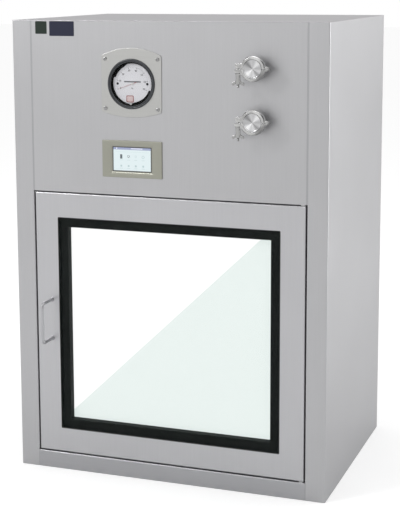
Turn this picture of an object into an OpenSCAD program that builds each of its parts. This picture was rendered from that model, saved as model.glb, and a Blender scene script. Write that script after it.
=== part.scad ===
// Dynamic cleanroom pass box: a two-door transfer chamber with a service compartment above it.
// Millimetres, +Z up, origin on the floor at the middle of the footprint, front door facing -Y.

/* [Cabinet] */
// Width over the side panels
cab_w = 800; // [760:5:900]
// Depth from the front face to the rear face
cab_d = 585; // [560:5:700]
// Height of the service compartment, from the foot of the header to the top
service_h = 420; // [400:5:520]
// Thickness of the folded cabinet sheet
sheet = 1.5; // [1:0.1:2]
// Outside radius of the cabinet's folds
bend_r = 3; // [2.5:0.1:3.5]
// Face width of the corner stiles
stile_w = 50; // [46:1:60]
// Face height of the bottom rail
rail_h = 43; // [40:1:60]
// Height of the header rail above each door
header_h = 30; // [26:1:36]

/* [Doors] */
// Height of a door leaf
door_h = 666; // [655:1:680]
// Thickness of a door leaf
door_t = 30; // [28:1:34]
// Open gap round a door leaf
door_gap = 3; // [2.5:0.1:4]
// Space between the closed door and the seal frame
seal_gap = 6; // [5:0.5:8]
// Distance of the pivot axis from the door's edge and face
pivot_in = 8; // [7.5:0.1:8.5]
// Radius of the pivot pins
pivot_r = 4; // [3:0.1:4.5]
// Radial running clearance of every turning pin
run_clear = 0.05; // [0.02:0.01:0.08]

/* [Glazing] */
// Width of the door skin beside the glass
door_stile = 61.5; // [58:0.5:80]
// Height of the door skin above and below the glass
door_rail = 62.5; // [58:0.5:80]
// Thickness of each pane
glass_t = 5; // [4:0.5:6]
// Width of the black border of the window
border_w = 23.5; // [18:0.5:28]
// Width of the glazing frame's lips behind the skins
lip_w = 12; // [8:1:14]

/* [Handle] */
// Distance of the handle from the door's free edge
handle_in = 40; // [36:1:50]
// Distance between the handle's two legs
handle_len = 100; // [80:1:160]
// Distance from the door to the middle of the grip
handle_out = 55; // [40:1:65]
// Height of the handle's middle above the middle of the door
handle_up = 11; // [0:1:60]
// Diameter of the handle bar
handle_d = 8; // [6:0.5:10]
// Bend radius of the handle bar
handle_bend = 12; // [10:1:16]

/* [Chamber] */
// Distance from the door's upright edges to the chamber's walls
mouth_side = 47; // [46:1:60]
// Distance from the door's lower and upper edges to the chamber's floor and ceiling
mouth_rail = 33; // [32:1:45]
// Thickness of the chamber sheet
wall_t = 1.2; // [1:0.1:1.5]
// Radius of the coved floor edges
cove_r = 20; // [10:1:30]
// Length of each return grille
grille_len = 400; // [300:10:440]
// Height of each return grille
grille_h = 110; // [90:5:130]
// Width of a grille slot
slot_w = 4; // [3:0.5:5]
// Pitch of the grille slots
slot_pitch = 12.5; // [11:0.5:16]
// Length of the ultraviolet tube
uv_len = 436; // [400:2:480]
// Radius of the ultraviolet tube
uv_r = 8; // [7:0.5:8.5]

/* [Filter and blower] */
// Height of the filter frame
filter_h = 69; // [60:1:80]
// Thickness of the filter frame's walls
filter_wall = 15; // [12:1:20]
// Pitch of the filter pleats
pleat_pitch = 12; // [10:1:20]
// Height of the air space above the filter
plenum_h = 41; // [35:1:50]
// Outside radius of the impeller
impeller_r = 88; // [80:1:92]
// Width of the impeller
impeller_w = 78; // [70:1:84]
// Number of impeller blades
blades = 28; // [20:1:36]
// Radius of the motor
motor_r = 52; // [45:1:58]
// Length of the motor
motor_len = 76; // [60:1:90]

/* [Gauge] */
// Distance of gauge and screen to the left of the middle
instr_x = 85; // [60:1:120]
// Height of the gauge's centre above the header
gauge_up = 240; // [215:1:260]
// Width of the gauge's mounting plate
gplate_w = 155; // [150:1:170]
// Height of the mounting plate's straight sides
gplate_side = 135; // [130:1:150]
// Rise of the plate's upper arc above its sides
gplate_crown = 18.5; // [12:0.5:24]
// Drop of the plate's lower arc below its sides
gplate_belly = 12.5; // [8:0.5:20]
// Thickness of the mounting plate
gplate_t = 2; // [1.5:0.5:3]
// Outside radius of the bezel ring
bezel_r = 60.3; // [58:0.1:64]
// Radius of the bezel ring's opening
bezel_in = 51; // [49:0.5:52]
// Height of the bezel ring above the plate
bezel_h = 4; // [3:0.5:6]

/* [Touch screen] */
// Height of the screen's centre above the header
hmi_up = 58.5; // [56:0.5:70]
// Width of the screen's bezel plate
hmi_w = 155; // [145:1:170]
// Height of the screen's bezel plate
hmi_h = 90; // [80:1:100]
// Width of the display window
window_w = 99.5; // [90:0.5:110]
// Height of the display window
window_h = 58.5; // [50:0.5:64]

/* [Test ports] */
// Distance of the ports from the right stile
port_in = 120; // [100:1:150]
// Height of the lower port above the header
port_up = 161; // [150:1:180]
// Distance between the two ports
port_step = 123; // [115:1:135]
// Radius of the ferrule and cap flanges
flange_r = 25.25; // [25:0.05:26]
// Outside radius of the ferrule tube
tube_r = 19.05; // [18:0.05:19.5]
// Distance from the control panel to the middle of the clamp
clamp_out = 36; // [30:1:42]
// Outside radius of the clamp ring
clamp_r = 29.5; // [29:0.5:31]
// Width of the clamp ring
clamp_w = 16; // [14:0.5:18]
// Radius of the swing bolt
bolt_r = 2.9; // [2.5:0.1:3.2]

/* [Hidden] */
$fn = 64;

FRONT = 0;
REAR = 1;
seat_gap = 0.3;             // clearance between pieces that only rest near each other
hole_fit = 0.1;             // clearance of a hole round what passes it
cut = 1;                    // overrun of a cutting tool past the face that it cuts

// Door opening and leaf, in a face's own frame: x to the right, y up, z out of the face
reveal_w = cab_w - 2 * stile_w;
leaf_w = reveal_w - 2 * door_gap;
door_z0 = rail_h + door_gap;
door_mid = door_z0 + door_h / 2;
header_z = door_z0 + door_h + door_gap;
header_top = header_z + header_h;
cab_h = header_z + service_h;
seal_z = door_t + seal_gap;             // depth of the seal frame's front behind the face
pivot_x = leaf_w / 2 - pivot_in;
pivot_block = 2 * pivot_in - 2 * sheet;
pivot_reach = 16;                       // height of a pivot block
pin_short = 3;                          // pin's end below the bottom of its bore
pivot_plate_w = 20;
pivot_plate_d = 24;
pivot_plate_t = 4;
collar_w = 3;
collar_play = 0.1;
glass_w = leaf_w - 2 * door_stile;
glass_h = door_h - 2 * door_rail;
pane_set = 0.4;                         // outer pane's face behind the door skin
pane_clear = 0.4;                       // clearance round a pane in its cut-out
pane_corner = 2;
inner_pane_z = door_t - glass_t - pane_set;
reveal_glass_w = glass_w - 2 * border_w;
reveal_glass_h = glass_h - 2 * border_w;
liner_fold = 12;
handle_x = leaf_w / 2 - handle_in;

// Chamber
chamber_w = leaf_w - 2 * mouth_side;
chamber_h = door_h - 2 * mouth_rail;
chamber_z0 = door_mid - chamber_h / 2;
chamber_top = chamber_z0 + chamber_h;
stile_deep = seal_z + sheet;            // depth of the stiles' inner folds
chamber_d = cab_d - 2 * stile_deep;
gasket_w = 12;
gasket_base = 1.2;
gasket_out = 18;                        // from the chamber's mouth to the middle of the gasket
gasket_mid = chamber_w / 2 + gasket_out;
gasket_mid_h = chamber_h / 2 + gasket_out;
gasket_bead = gasket_w / 2 - 1.5;
magnet_r = 9;
magnet_x = gasket_mid + gasket_w / 2 + magnet_r + 2.6;
magnet_len = 24;
magnet_rise = 190;
armature_t = 1.5;
tray_h = 12;
diffuser_side = 60;                     // plain border of the slotted ceiling beside the walls
diffuser_near = 57;                     // and towards the front
diffuser_far = 113;                     // and towards the rear, clear of the lamp
diffuser_w = chamber_w - 2 * diffuser_side;
diffuser_d = chamber_d - diffuser_near - diffuser_far;
diffuser_shift = (diffuser_far - diffuser_near) / 2;
diffuser_lanes = 6;
diffuser_rows = 22;
diffuser_land = 0.8;                    // share of a lane that its slot takes
filter_z = chamber_top + tray_h;
deck_z = filter_z + filter_h + plenum_h;
grille_up = 35;                         // plain wall between the cove and the return opening
grille_z = chamber_z0 + cove_r + grille_up;
grille_rim = 15;
grille_corner = 4;
grille_t = 1.5;
uv_back = 60;                           // lamp's distance from the rear seal frame
uv_drop = 22;                           // and from the ceiling
uv_y = chamber_d / 2 - uv_back;
uv_z = chamber_top - uv_drop;
holder_w = 20;
holder_lip = 3;
holder_socket = 3;

// Service compartment
panel_gap = 0.4;                        // open joint between the upper panels and the stiles
panel_edge = reveal_w / 2 - panel_gap;
panel_fold = 15;
panel_top = cab_h - sheet - seat_gap;
top_flange = 25;
through = 20;                           // length of a cutting tool that passes a sheet
screw_r = 2.5;
screw_len = 8;
screw_head_r = 4.75;
screw_head_h = 3;
screw_in = 22;                          // end screws' distance from the service panel's edges
service_screws = 5;
gauge_z = header_top + gauge_up;
gauge_screw_x = 67.5;
gauge_screw_y = 59.5;
gauge_body_r = 57.2;
gauge_cavity_r = 53;
gauge_deep = 45;
gauge_flange_r = 64;                    // flange that the gauge is drawn against the panel's back with
gauge_flange_t = 3;
movement_r = 45;
movement_deep = 20;
barb_x = 18;
barb_r = 3;
barb_len = 14;
dial_t = 1;
lens_sink = 5;                          // lens's back below the bezel's crown
dial_sink = 5;                          // pointer's plane below the lens
bezel_top = gplate_t + bezel_h;
lens_z = bezel_top - lens_sink;
dial_z = lens_z - dial_sink;
dial_r = 48;
dial_edge_r = dial_r - 2;
dial_tab = 26;                          // height of the dial's two side tabs
dial_fit = 0.5;
lens_t = 2.4;
lens_lap = 4;
bezel_round = 3;
spindle_r = 1;
pointer_len = 38;
pointer_tail = 12;
pointer_zero = 200;                     // dial angle of the zero mark
zero_screw_y = -46.5;
zero_screw_r = 1.6;
zero_head_r = 3.2;
zero_head_h = 2;
zero_slot_w = 0.8;
hmi_z = header_top + hmi_up;
hmi_lap_x = 7.5;                        // bezel plate's reach past its body at each side
hmi_lap_y = 5;                          // and above and below it
hmi_body_w = hmi_w - 2 * hmi_lap_x;
hmi_body_h = hmi_h - 2 * hmi_lap_y;
hmi_body_d = 28;
hmi_plate_t = 3;
hmi_round = 1.2;
window_rim = 2.5;
window_deep = 1;
screen_deep = 8;
screen_fit = 0.1;
blower_x = 60;
blower_rise = 145;                      // shaft above the deck
blower_z = deck_z + sheet + blower_rise;
housing_side = 12;                      // space beside the impeller in its housing
housing_w = impeller_w + 2 * housing_side;
outlet_w = 100;
inlet_r = impeller_r * 0.72;
tongue_r = impeller_r * 1.1;
scroll_growth = impeller_r * 0.4;
shaft_r = 6;
hub_pad = 5;
hub_len = 24;
shaft_in = 20;
backplate_t = 2;
rim_ring_t = 6;
rim_ring_w = 3;
motor_face = blower_x - housing_w / 2;
motor_flange_t = 4;
motor_flange_w = 8;
motor_fins = 12;
fin_t = 3;
fin_out = 4;
fin_end = 8;
gland_in_x = 120;                       // gland's distance from the reveal's edge
gland_up = 55;                          // and above the header
gland_x = reveal_w / 2 - gland_in_x;
gland_z = header_top + gland_up;
gland_r = 10;
gland_nut_r = 14;
gland_nut_h = 6;
gland_cap_r = 12.5;
gland_cap_h = 9;
gland_in = 12;
lock_nut_h = 5;
gland_bore_r = 6.5;
box_w = 170;
box_d = 120;
box_h = 90;
box_side = 60;                          // control box's distance from the reveal's left edge
box_back = 56;                          // and from the deck's rear edge
lid_lap = 2;

// Port, cap and clamp
port_x = reveal_w / 2 - port_in;
port_z = header_top + port_up;
ferrule_in = 30;                        // length of the ferrule's tube behind the panel
tube_wall = 1.6;
end_wall = 4;
weld_w = 1.5;
weld_h = 2;
gasket_t = 1.6;
flange_t = 2.85;
flange_slope = tan(20);
hub_r = 21.8;
cap_rise = 3.6;
cap_edge = 0.6;
cap_lip = 2;
cap_dish = 3;
clamp_fit = 0.1;                        // clearance of the clamp's groove round the flanges
clamp_edge = 2;
clamp_in = hub_r + 0.4;
groove_r = flange_r + clamp_fit;
groove_rim = gasket_t / 2 + flange_t + clamp_fit;
groove_mouth = groove_rim + (flange_r - hub_r) * flange_slope;
half_gap = 1.2;
lug_x = 35;
lug_r = 5.5;
lug_mid = 4;                            // half the width of the middle knuckle
lug_pin_r = 2;
eye_x = -36;
eye_y = 7;
eye_r = 4.8;
eye_t = 6;
eye_play = 0.6;
ear_cheek = 4;
ear_wall = 0.8;
ear_r = 17;                             // radius of the nut's seat about the bolt's pivot
ear_w = 18.2;
ear_block = 7;                          // reach of the lower ear outside the bolt
ear_foot = 13;
nut_len = 26;
nut_r = 5.5;
nut_collar = 1.5;
nut_collar_h = 2;
wing_t = 3;
wing_x = 11.2;
wing_r = 3.9;
wing_root = 11;
bolt_len = 51;

// Air lines
hose_r = 8;
hose_bend = 24;
hose_back = 76;                         // lower port's hose drops this far behind the front
hose_step = 26;                         // and the upper port's this much further back
line_r = 3;
line_bend = 12;

// ---------------------------------------------------------------- shared forms

// Puts a form drawn in a face's own frame on the front or the rear of the cabinet
module on_face(side) {
    rotate([0, 0, 180 * side]) translate([0, -cab_d / 2, 0]) rotate([90, 0, 0]) children();
}

// A form drawn on a door's pivot axis, at floor height
module on_pivot(side) { on_face(side) translate([pivot_x, 0, -pivot_in]) children(); }

// A form drawn on the gauge's axis
module on_gauge() { on_face(FRONT) translate([-instr_x, gauge_z, 0]) children(); }

// A form drawn on one port's axis, 0 for the lower and 1 for the upper port
module on_port(k) { on_face(FRONT) translate([port_x, port_z + k * port_step, 0]) children(); }

// Rectangle with true round corners
module round_rect(w, h, r) {
    square([w - 2 * r, h], center = true);
    square([w, h - 2 * r], center = true);
    for (x = [-1, 1], y = [-1, 1]) translate([x * (w / 2 - r), y * (h / 2 - r)]) circle(r);
}

// Slot with round ends, long side along x
module slot(length, width) {
    square([length - width, width], center = true);
    for (x = [-1, 1]) translate([x * (length - width) / 2, 0]) circle(width / 2, $fn = 16);
}

// Rectangle from y = 0 down to -t whose two upper corners are round
module crowned(w, t, r) {
    difference() {
        translate([-w / 2, -t]) square([w, t]);
        for (s = [-1, 1]) scale([s, 1]) translate([w / 2 - r, -r]) difference() {
            square(r + cut);
            circle(r);
        }
    }
}

// Slab w x h from z = 0 down to -t with folded, round front edges
module folded_slab(w, h, t, r) {
    intersection() {
        translate([0, h / 2, 0]) rotate([90, 0, 0]) linear_extrude(h) crowned(w, t, r);
        rotate([90, 0, 90]) translate([0, 0, -w / 2]) linear_extrude(w) crowned(h, t, r);
    }
}

// Plate w x h from z = z0 up to z0 + t
module plate(w, h, z0, t) { translate([0, 0, z0 + t / 2]) cube([w, h, t], center = true); }

// Rectangular ring between two sizes, from z0 up to z0 + t
module ring(w, h, w_in, h_in, z0, t) {
    difference() {
        plate(w, h, z0, t);
        plate(w_in, h_in, z0 - cut, t + 2 * cut);
    }
}

// Frame w x h along its middle line, mitred at the corners, with the child profile as its section:
// the profile's x runs outwards and its y runs along the frame's z
module mitred_frame(w, h, band) {
    for (k = [0 : 3]) {
        run = k % 2 == 0 ? w : h;
        rise = k % 2 == 0 ? h : w;
        rotate([0, 0, 90 * k]) translate([0, rise / 2, 0]) intersection() {
            translate([-run / 2 - band, 0, 0]) rotate([90, 0, 90]) linear_extrude(run + 2 * band) children();
            linear_extrude(4 * band, center = true)
                polygon([[-run / 2 - band, band], [run / 2 + band, band],
                         [run / 2 - band, -band], [-run / 2 + band, -band]]);
        }
    }
}

// Round bar through a quarter turn in the xz plane, from the origin along +z and round to +x
module quarter_bend(bend, r) {
    translate([bend, 0, 0]) rotate([90, 0, 0]) rotate([0, 0, 90])
        rotate_extrude(angle = 90) translate([bend, 0]) circle(r);
}

// ---------------------------------------------------------------- cabinet sheets

// Side panel with both stiles folded from the same sheet; right side, at +x
module side_sheet() {
    linear_extrude(cab_h - sheet) difference() {
        translate([cab_w / 2 - stile_w / 2, 0]) round_rect(stile_w, cab_d, bend_r);
        translate([cab_w / 2 - stile_w / 2, 0])
            round_rect(stile_w - 2 * sheet, cab_d - 2 * sheet, bend_r - sheet);
        translate([reveal_w / 2 - cut, -chamber_d / 2]) square([sheet + 2 * cut, chamber_d]);
    }
    translate([reveal_w / 2 + sheet, -cab_d / 2 + sheet, 0])
        cube([stile_w - 2 * sheet, cab_d - 2 * sheet, sheet]);
    translate([reveal_w / 2, -chamber_d / 2, 0]) cube([2 * sheet, chamber_d, sheet]);
}

module right_side_panel() { color("silver") side_sheet(); }

module left_side_panel() { color("silver") mirror([1, 0, 0]) side_sheet(); }

module top_panel() {
    flange_x = panel_edge - sheet - seat_gap;
    color("gainsboro") {
        translate([0, 0, cab_h]) folded_slab(cab_w, cab_d, sheet, sheet / 2);
        difference() {
            for (y = [-1, 1]) translate([0, y * (cab_d / 2 - 1.5 * sheet), 0])
                translate([-flange_x, -sheet / 2, cab_h - sheet - top_flange])
                    cube([2 * flange_x, sheet, top_flange]);
            service_screw_line(panel_top - top_flange / 2)
                cylinder(r = screw_r + hole_fit, h = through, center = true);
        }
        for (x = [-1, 1]) translate([x * (cab_w / 2 - 1.5 * sheet) - sheet / 2, -chamber_d / 2,
                                     cab_h - sheet - top_flange])
            cube([sheet, chamber_d, top_flange]);
    }
}

// Base pan: floor plate with the front and rear bottom rails folded up from it
module base_pan() {
    color("silver") difference() {
        translate([-reveal_w / 2, 0, 0]) rotate([90, 0, 90]) linear_extrude(reveal_w) {
            translate([-cab_d / 2, 0]) square([cab_d, sheet]);
            for (s = [-1, 1]) scale([s, 1]) difference() {
                translate([cab_d / 2 - stile_deep, 0]) square([stile_deep, rail_h]);
                translate([cab_d / 2 - stile_deep - cut, -cut])
                    square([stile_deep - sheet + cut, rail_h - sheet + cut]);
                translate([cab_d / 2 - bend_r, rail_h - bend_r]) difference() {
                    square(bend_r + cut);
                    circle(bend_r);
                }
            }
        }
        for (side = [FRONT, REAR]) on_pivot(side) translate([0, rail_h, 0]) rotate([90, 0, 0])
            cylinder(r = pivot_r + hole_fit, h = 4 * sheet, center = true);
    }
}

// Hollow header rail over each door, carrying the upper pivots
module header_rails() {
    deep = seal_z - sheet;
    color("darkgray") for (side = [FRONT, REAR]) on_face(side) difference() {
        translate([-reveal_w / 2, header_z, -seal_z]) cube([reveal_w, header_h, deep]);
        translate([-reveal_w / 2 - cut, header_z + sheet, -seal_z + sheet])
            cube([reveal_w + 2 * cut, header_h - 2 * sheet, deep - 2 * sheet]);
        translate([pivot_x, header_z, -pivot_in]) rotate([90, 0, 0])
            cylinder(r = pivot_r + hole_fit, h = 4 * sheet, center = true);
        if (side == REAR) for (x = service_screw_x()) translate([x, header_z + header_h / 2, 0])
            cylinder(r = screw_r + hole_fit, h = through, center = true);
    }
}

function service_screw_x() =
    [for (k = [0 : service_screws - 1]) (k / (service_screws - 1) - 0.5) * 2 * (panel_edge - screw_in)];

// The child repeated along one row of the rear service panel's screws
module service_screw_line(z) {
    on_face(REAR) for (x = service_screw_x()) translate([x, z, 0]) children();
}

// Upper panel between the stiles with folded side edges, in the face's own frame
module panel_sheet() {
    notch = header_top + seat_gap;
    module section() {
        difference() {
            crowned(2 * panel_edge, panel_fold, bend_r);
            translate([0, -panel_fold / 2 - sheet])
                square([2 * (panel_edge - sheet), panel_fold], center = true);
        }
    }
    translate([0, panel_top, 0]) rotate([90, 0, 0]) linear_extrude(panel_top - notch) section();
    translate([0, notch, 0]) rotate([90, 0, 0]) linear_extrude(notch - header_z) intersection() {
        section();
        translate([0, -sheet / 2]) square([2 * panel_edge, sheet], center = true);
    }
}

module control_panel() {
    color("silver") difference() {
        on_face(FRONT) panel_sheet();
        on_gauge() {
            cylinder(r = bezel_r + hole_fit, h = 4 * sheet, center = true);
            gauge_screw_places() cylinder(r = screw_r + hole_fit, h = 4 * sheet, center = true);
        }
        on_face(FRONT) translate([-instr_x, hmi_z, 0])
            plate(hmi_body_w + 2 * hole_fit, hmi_body_h + 2 * hole_fit, -2 * sheet, 4 * sheet);
        for (k = [0, 1]) on_port(k) cylinder(r = tube_r + hole_fit, h = 4 * sheet, center = true);
    }
}

module service_panel() {
    color("silver") difference() {
        on_face(REAR) panel_sheet();
        for (z = [header_z + header_h / 2, panel_top - top_flange / 2])
            service_screw_line(z) cylinder(r = screw_r + hole_fit, h = 4 * sheet, center = true);
        on_face(REAR) translate([gland_x, gland_z, 0])
            cylinder(r = gland_r + hole_fit, h = 4 * sheet, center = true);
    }
}

module gauge_screw_places() {
    for (x = [-1, 1], y = [-1, 1]) translate([x * gauge_screw_x, y * gauge_screw_y, 0]) children();
}

// Pan-head screw: head on z = 0, shank below it
module pan_screw(shank) {
    rotate_extrude() polygon([[0, -shank], [screw_r, -shank], [screw_r, 0], [screw_head_r, 0],
        [screw_head_r, screw_head_h * 0.45], [screw_head_r * 0.82, screw_head_h * 0.85],
        [screw_head_r * 0.45, screw_head_h], [0, screw_head_h]]);
}

module panel_screws() {
    color("lightgray") {
        on_gauge() translate([0, 0, gplate_t]) gauge_screw_places() pan_screw(gplate_t + screw_len);
        for (z = [header_z + header_h / 2, panel_top - top_flange / 2])
            service_screw_line(z) pan_screw(screw_len);
    }
}

// Gland for the mains lead: body through the service panel, clamping nut outside, lock nut inside
module cable_gland() {
    color("dimgray") on_face(REAR) translate([gland_x, gland_z, 0]) difference() {
        union() {
            translate([0, 0, -gland_in]) cylinder(r = gland_r, h = gland_in + gland_nut_h);
            cylinder(r = gland_nut_r, h = gland_nut_h, $fn = 6);
            translate([0, 0, gland_nut_h]) cylinder(r = gland_cap_r, h = gland_cap_h);
            translate([0, 0, -sheet - lock_nut_h]) cylinder(r = gland_nut_r, h = lock_nut_h, $fn = 6);
        }
        translate([0, 0, -gland_in - cut]) cylinder(r = gland_bore_r, h = 2 * through);
    }
}

// ---------------------------------------------------------------- chamber

// Frame behind each door: its face takes the door gasket, its opening is the chamber's mouth
module seal_frames() {
    h = deck_z - rail_h;
    color("gainsboro") for (side = [FRONT, REAR]) on_face(side) translate([0, 0, -stile_deep])
        difference() {
            translate([-reveal_w / 2, rail_h, 0]) cube([reveal_w, h, sheet]);
            translate([0, (chamber_z0 + chamber_top) / 2, -cut]) linear_extrude(sheet + 2 * cut) {
                round_rect(chamber_w, chamber_h, cove_r);
                translate([0, chamber_h / 4]) square([chamber_w, chamber_h / 2], center = true);
            }
            magnet_places() cylinder(r = magnet_r + hole_fit, h = 4 * sheet, center = true);
        }
}

module magnet_places() {
    for (s = [-1, 1]) translate([-magnet_x, door_mid + s * magnet_rise, 0]) children();
}

// Floor sheet with its side edges coved up to meet the walls
module chamber_floor() {
    half = chamber_w / 2;
    color("whitesmoke") rotate([90, 0, 0]) linear_extrude(chamber_d, center = true) {
        translate([-half + cove_r, chamber_z0 - wall_t]) square([2 * (half - cove_r), wall_t]);
        for (s = [-1, 1]) scale([s, 1]) translate([half - cove_r, chamber_z0 + cove_r]) intersection() {
            difference() {
                circle(cove_r + wall_t);
                circle(cove_r);
            }
            translate([0, -cove_r - wall_t]) square(cove_r + wall_t);
        }
    }
}

module chamber_walls() {
    z0 = chamber_z0 + cove_r;
    color("whitesmoke") for (s = [-1, 1]) difference() {
        translate([s * (chamber_w + wall_t) / 2 - wall_t / 2, -chamber_d / 2, z0])
            cube([wall_t, chamber_d, deck_z - z0]);
        translate([s * chamber_w / 2 - through / 2, -grille_len / 2, grille_z])
            cube([through, grille_len, grille_h]);
    }
}

// Slotted grille over each return opening, two rows of round-ended slots
module return_grilles() {
    w = grille_len + 2 * grille_rim;
    h = grille_h + 2 * grille_rim;
    n = floor((grille_len - slot_pitch) / slot_pitch);
    slot_h = (grille_h - 3 * slot_w) / 2;
    color("silver") for (s = [-1, 1])
        translate([s * (chamber_w / 2 - grille_t / 2), 0, grille_z + grille_h / 2]) rotate([90, 0, 90])
            linear_extrude(grille_t, center = true) difference() {
                round_rect(w, h, grille_corner);
                for (k = [0 : n], row = [-1, 1])
                    translate([(k - n / 2) * slot_pitch, row * (slot_h / 2 + slot_w)])
                        rotate(90) slot(slot_h, slot_w);
            }
}

// Tray that closes the chamber's ceiling and carries the filter: slotted plate with an upturned rim
module diffuser_tray() {
    w = chamber_w;
    d = chamber_d;
    lane = diffuser_w / diffuser_lanes;
    row = diffuser_d / diffuser_rows;
    color("silver") translate([0, 0, chamber_top]) {
        difference() {
            plate(w, d, 0, wall_t);
            translate([0, -diffuser_shift, -cut]) linear_extrude(wall_t + 2 * cut)
                for (i = [0 : diffuser_lanes - 1], j = [0 : diffuser_rows - 1])
                    translate([(i - (diffuser_lanes - 1) / 2) * lane, (j - (diffuser_rows - 1) / 2) * row])
                        slot(lane * diffuser_land, slot_w);
        }
        ring(w, d, w - 2 * sheet, d - 2 * sheet, wall_t, tray_h - wall_t - sheet);
        ring(w, d, w - 2 * filter_wall, d - 2 * filter_wall, tray_h - sheet, sheet);
    }
}

module filter_frame() {
    color("lightsteelblue") translate([0, 0, filter_z])
        ring(chamber_w - 2 * seat_gap, chamber_d - 2 * seat_gap,
             chamber_w - 2 * filter_wall, chamber_d - 2 * filter_wall, 0, filter_h);
}

// Pleated filter paper: one zigzag ribbon across the whole frame
module filter_media() {
    n = floor((chamber_w - 2 * filter_wall) / pleat_pitch);
    rim = 6;                            // plain frame below and above the paper
    low = rim;
    high = filter_h - rim;
    paper = 1.2;                        // rise of the ribbon's upper side over its lower one at a fold
    crest = 7.2;                        // height of the solid tip at an upper fold
    function across(k) = (k - n) * pleat_pitch / 2;
    upper = [for (k = [0 : 2 * n]) [across(k), k % 2 == 0 ? low + paper : high]];
    lower = [for (k = [2 * n : -1 : 0]) [across(k), k % 2 == 0 ? low : high - crest]];
    color("white") translate([0, 0, filter_z]) rotate([90, 0, 0])
        linear_extrude(chamber_d - 2 * filter_wall, center = true) polygon(concat(upper, lower));
}

// ---------------------------------------------------------------- blower

// Plate over the filter's air space, with the blower's outlet and the sampling hoses through it
module blower_deck() {
    color("darkgray") difference() {
        translate([0, 0, deck_z]) plate(chamber_w + 2 * wall_t, cab_d - 2 * seal_z, 0, sheet);
        translate([blower_x - housing_w / 2 + sheet, -scroll_r(1), deck_z - cut])
            cube([housing_w - 2 * sheet, outlet_w, sheet + 2 * cut]);
        for (k = [0, 1]) translate(hose_drop(k)) cylinder(r = hose_r + hole_fit, h = through, center = true);
    }
}

// Radius of the scroll at a share of its sweep: it grows evenly with the angle
function scroll_r(share) = tongue_r + scroll_growth * share;

// Outline of the scroll across the shaft: the spiral from the tongue over the top to the far side,
// then the outlet duct straight down to the deck
module scroll_outline(extra, foot) {
    from = -60;
    sweep = 240;
    steps = 24;
    wrap = [for (k = [0 : steps]) let (a = from + sweep * k / steps, r = scroll_r(k / steps) + extra)
        [r * cos(a), r * sin(a)]];
    polygon(concat(wrap, [[-scroll_r(1) - extra, -foot], [-scroll_r(1) + outlet_w + 1.3 * extra, -foot]]));
}

module blower_housing() {
    foot = blower_z - deck_z - sheet;
    color("lightgray") translate([blower_x, 0, blower_z]) rotate([90, 0, 90]) difference() {
        linear_extrude(housing_w, center = true) scroll_outline(sheet, foot);
        linear_extrude(housing_w - 2 * sheet, center = true) scroll_outline(0, foot + cut);
        cylinder(r = inlet_r, h = housing_w);
        translate([0, 0, -housing_w]) cylinder(r = shaft_r * 2, h = housing_w);
    }
}

// Motor outside the housing's left cheek, its bore running the impeller's shaft
module blower_motor() {
    color("steelblue") translate([motor_face, 0, blower_z]) rotate([0, -90, 0]) difference() {
        union() {
            cylinder(r = motor_r + motor_flange_w, h = motor_flange_t);
            cylinder(r = motor_r, h = motor_len);
            cylinder(r = motor_r / 2, h = motor_len + fin_end);
            for (k = [1 : motor_fins]) rotate([0, 0, k * 360 / motor_fins])
                translate([motor_r - fin_t / 2, -fin_t / 2, fin_end])
                    cube([fin_out + fin_t / 2, fin_t, motor_len - 2 * fin_end]);
        }
        translate([0, 0, -cut]) cylinder(r = shaft_r + run_clear, h = motor_len * 0.8);
    }
}

// Squirrel-cage impeller with forward-curved blades, hub and shaft in one turning piece
module impeller() {
    blade_r = impeller_r * 0.2;
    blade_t = 1;
    half = impeller_w / 2;
    color("gold") translate([blower_x, 0, blower_z]) rotate([0, 90, 0]) {
        translate([0, 0, -half]) difference() {
            cylinder(r = impeller_r, h = backplate_t);
            for (a = [0 : 60 : 300]) rotate([0, 0, a]) translate([impeller_r * 0.45, 0, -cut])
                cylinder(r = impeller_r * 0.1, h = backplate_t + 2 * cut);
        }
        translate([0, 0, half - rim_ring_t]) difference() {
            cylinder(r = impeller_r, h = rim_ring_t);
            translate([0, 0, -cut]) cylinder(r = impeller_r - rim_ring_w, h = rim_ring_t + 2 * cut);
        }
        for (k = [0 : blades - 1]) rotate([0, 0, k * 360 / blades])
            translate([impeller_r - blade_r * 0.62 - 1.6, 0, -half + blade_t]) rotate([0, 0, -60])
                rotate_extrude(angle = 100) translate([blade_r / 2, 0])
                    square([blade_t, impeller_w - 4 * blade_t]);
        translate([0, 0, -half - shaft_r]) cylinder(r = shaft_r + hub_pad, h = hub_len);
        translate([0, 0, -housing_w / 2 - motor_len * 0.7])
            cylinder(r = shaft_r, h = motor_len * 0.7 + shaft_in);
    }
}

// ---------------------------------------------------------------- lamp, controls, locks

module uv_tube() {
    color("lavender") translate([0, uv_y, uv_z]) rotate([0, 90, 0])
        cylinder(r = uv_r, h = uv_len, center = true);
}

module uv_holders() {
    body = 2 * (uv_r + holder_lip);
    foot = uv_z - body / 2;
    mid = uv_len / 2 - holder_socket + holder_w / 2;
    color("white") for (s = [-1, 1]) translate([s * mid, uv_y, 0]) difference() {
        translate([0, 0, (chamber_top + foot) / 2]) cube([holder_w, body, chamber_top - foot], center = true);
        translate([-s * holder_w / 2, 0, uv_z]) rotate([0, 90, 0])
            cylinder(r = uv_r, h = 2 * holder_socket, center = true);
    }
}

module control_box() {
    mid_y = cab_d / 2 - seal_z - box_back - box_d / 2;
    color("dimgray") translate([-reveal_w / 2 + box_side + box_w / 2, mid_y, deck_z + sheet + box_h / 2]) {
        cube([box_w, box_d, box_h], center = true);
        translate([0, 0, box_h / 2 + sheet])
            folded_slab(box_w + 2 * lid_lap, box_d + 2 * lid_lap, 2 * sheet, sheet / 2);
    }
}

module door_magnets() {
    color("dimgray") for (side = [FRONT, REAR]) on_face(side) magnet_places()
        translate([0, 0, -door_t - armature_t - seat_gap - magnet_len])
            cylinder(r = magnet_r, h = magnet_len);
}

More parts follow.
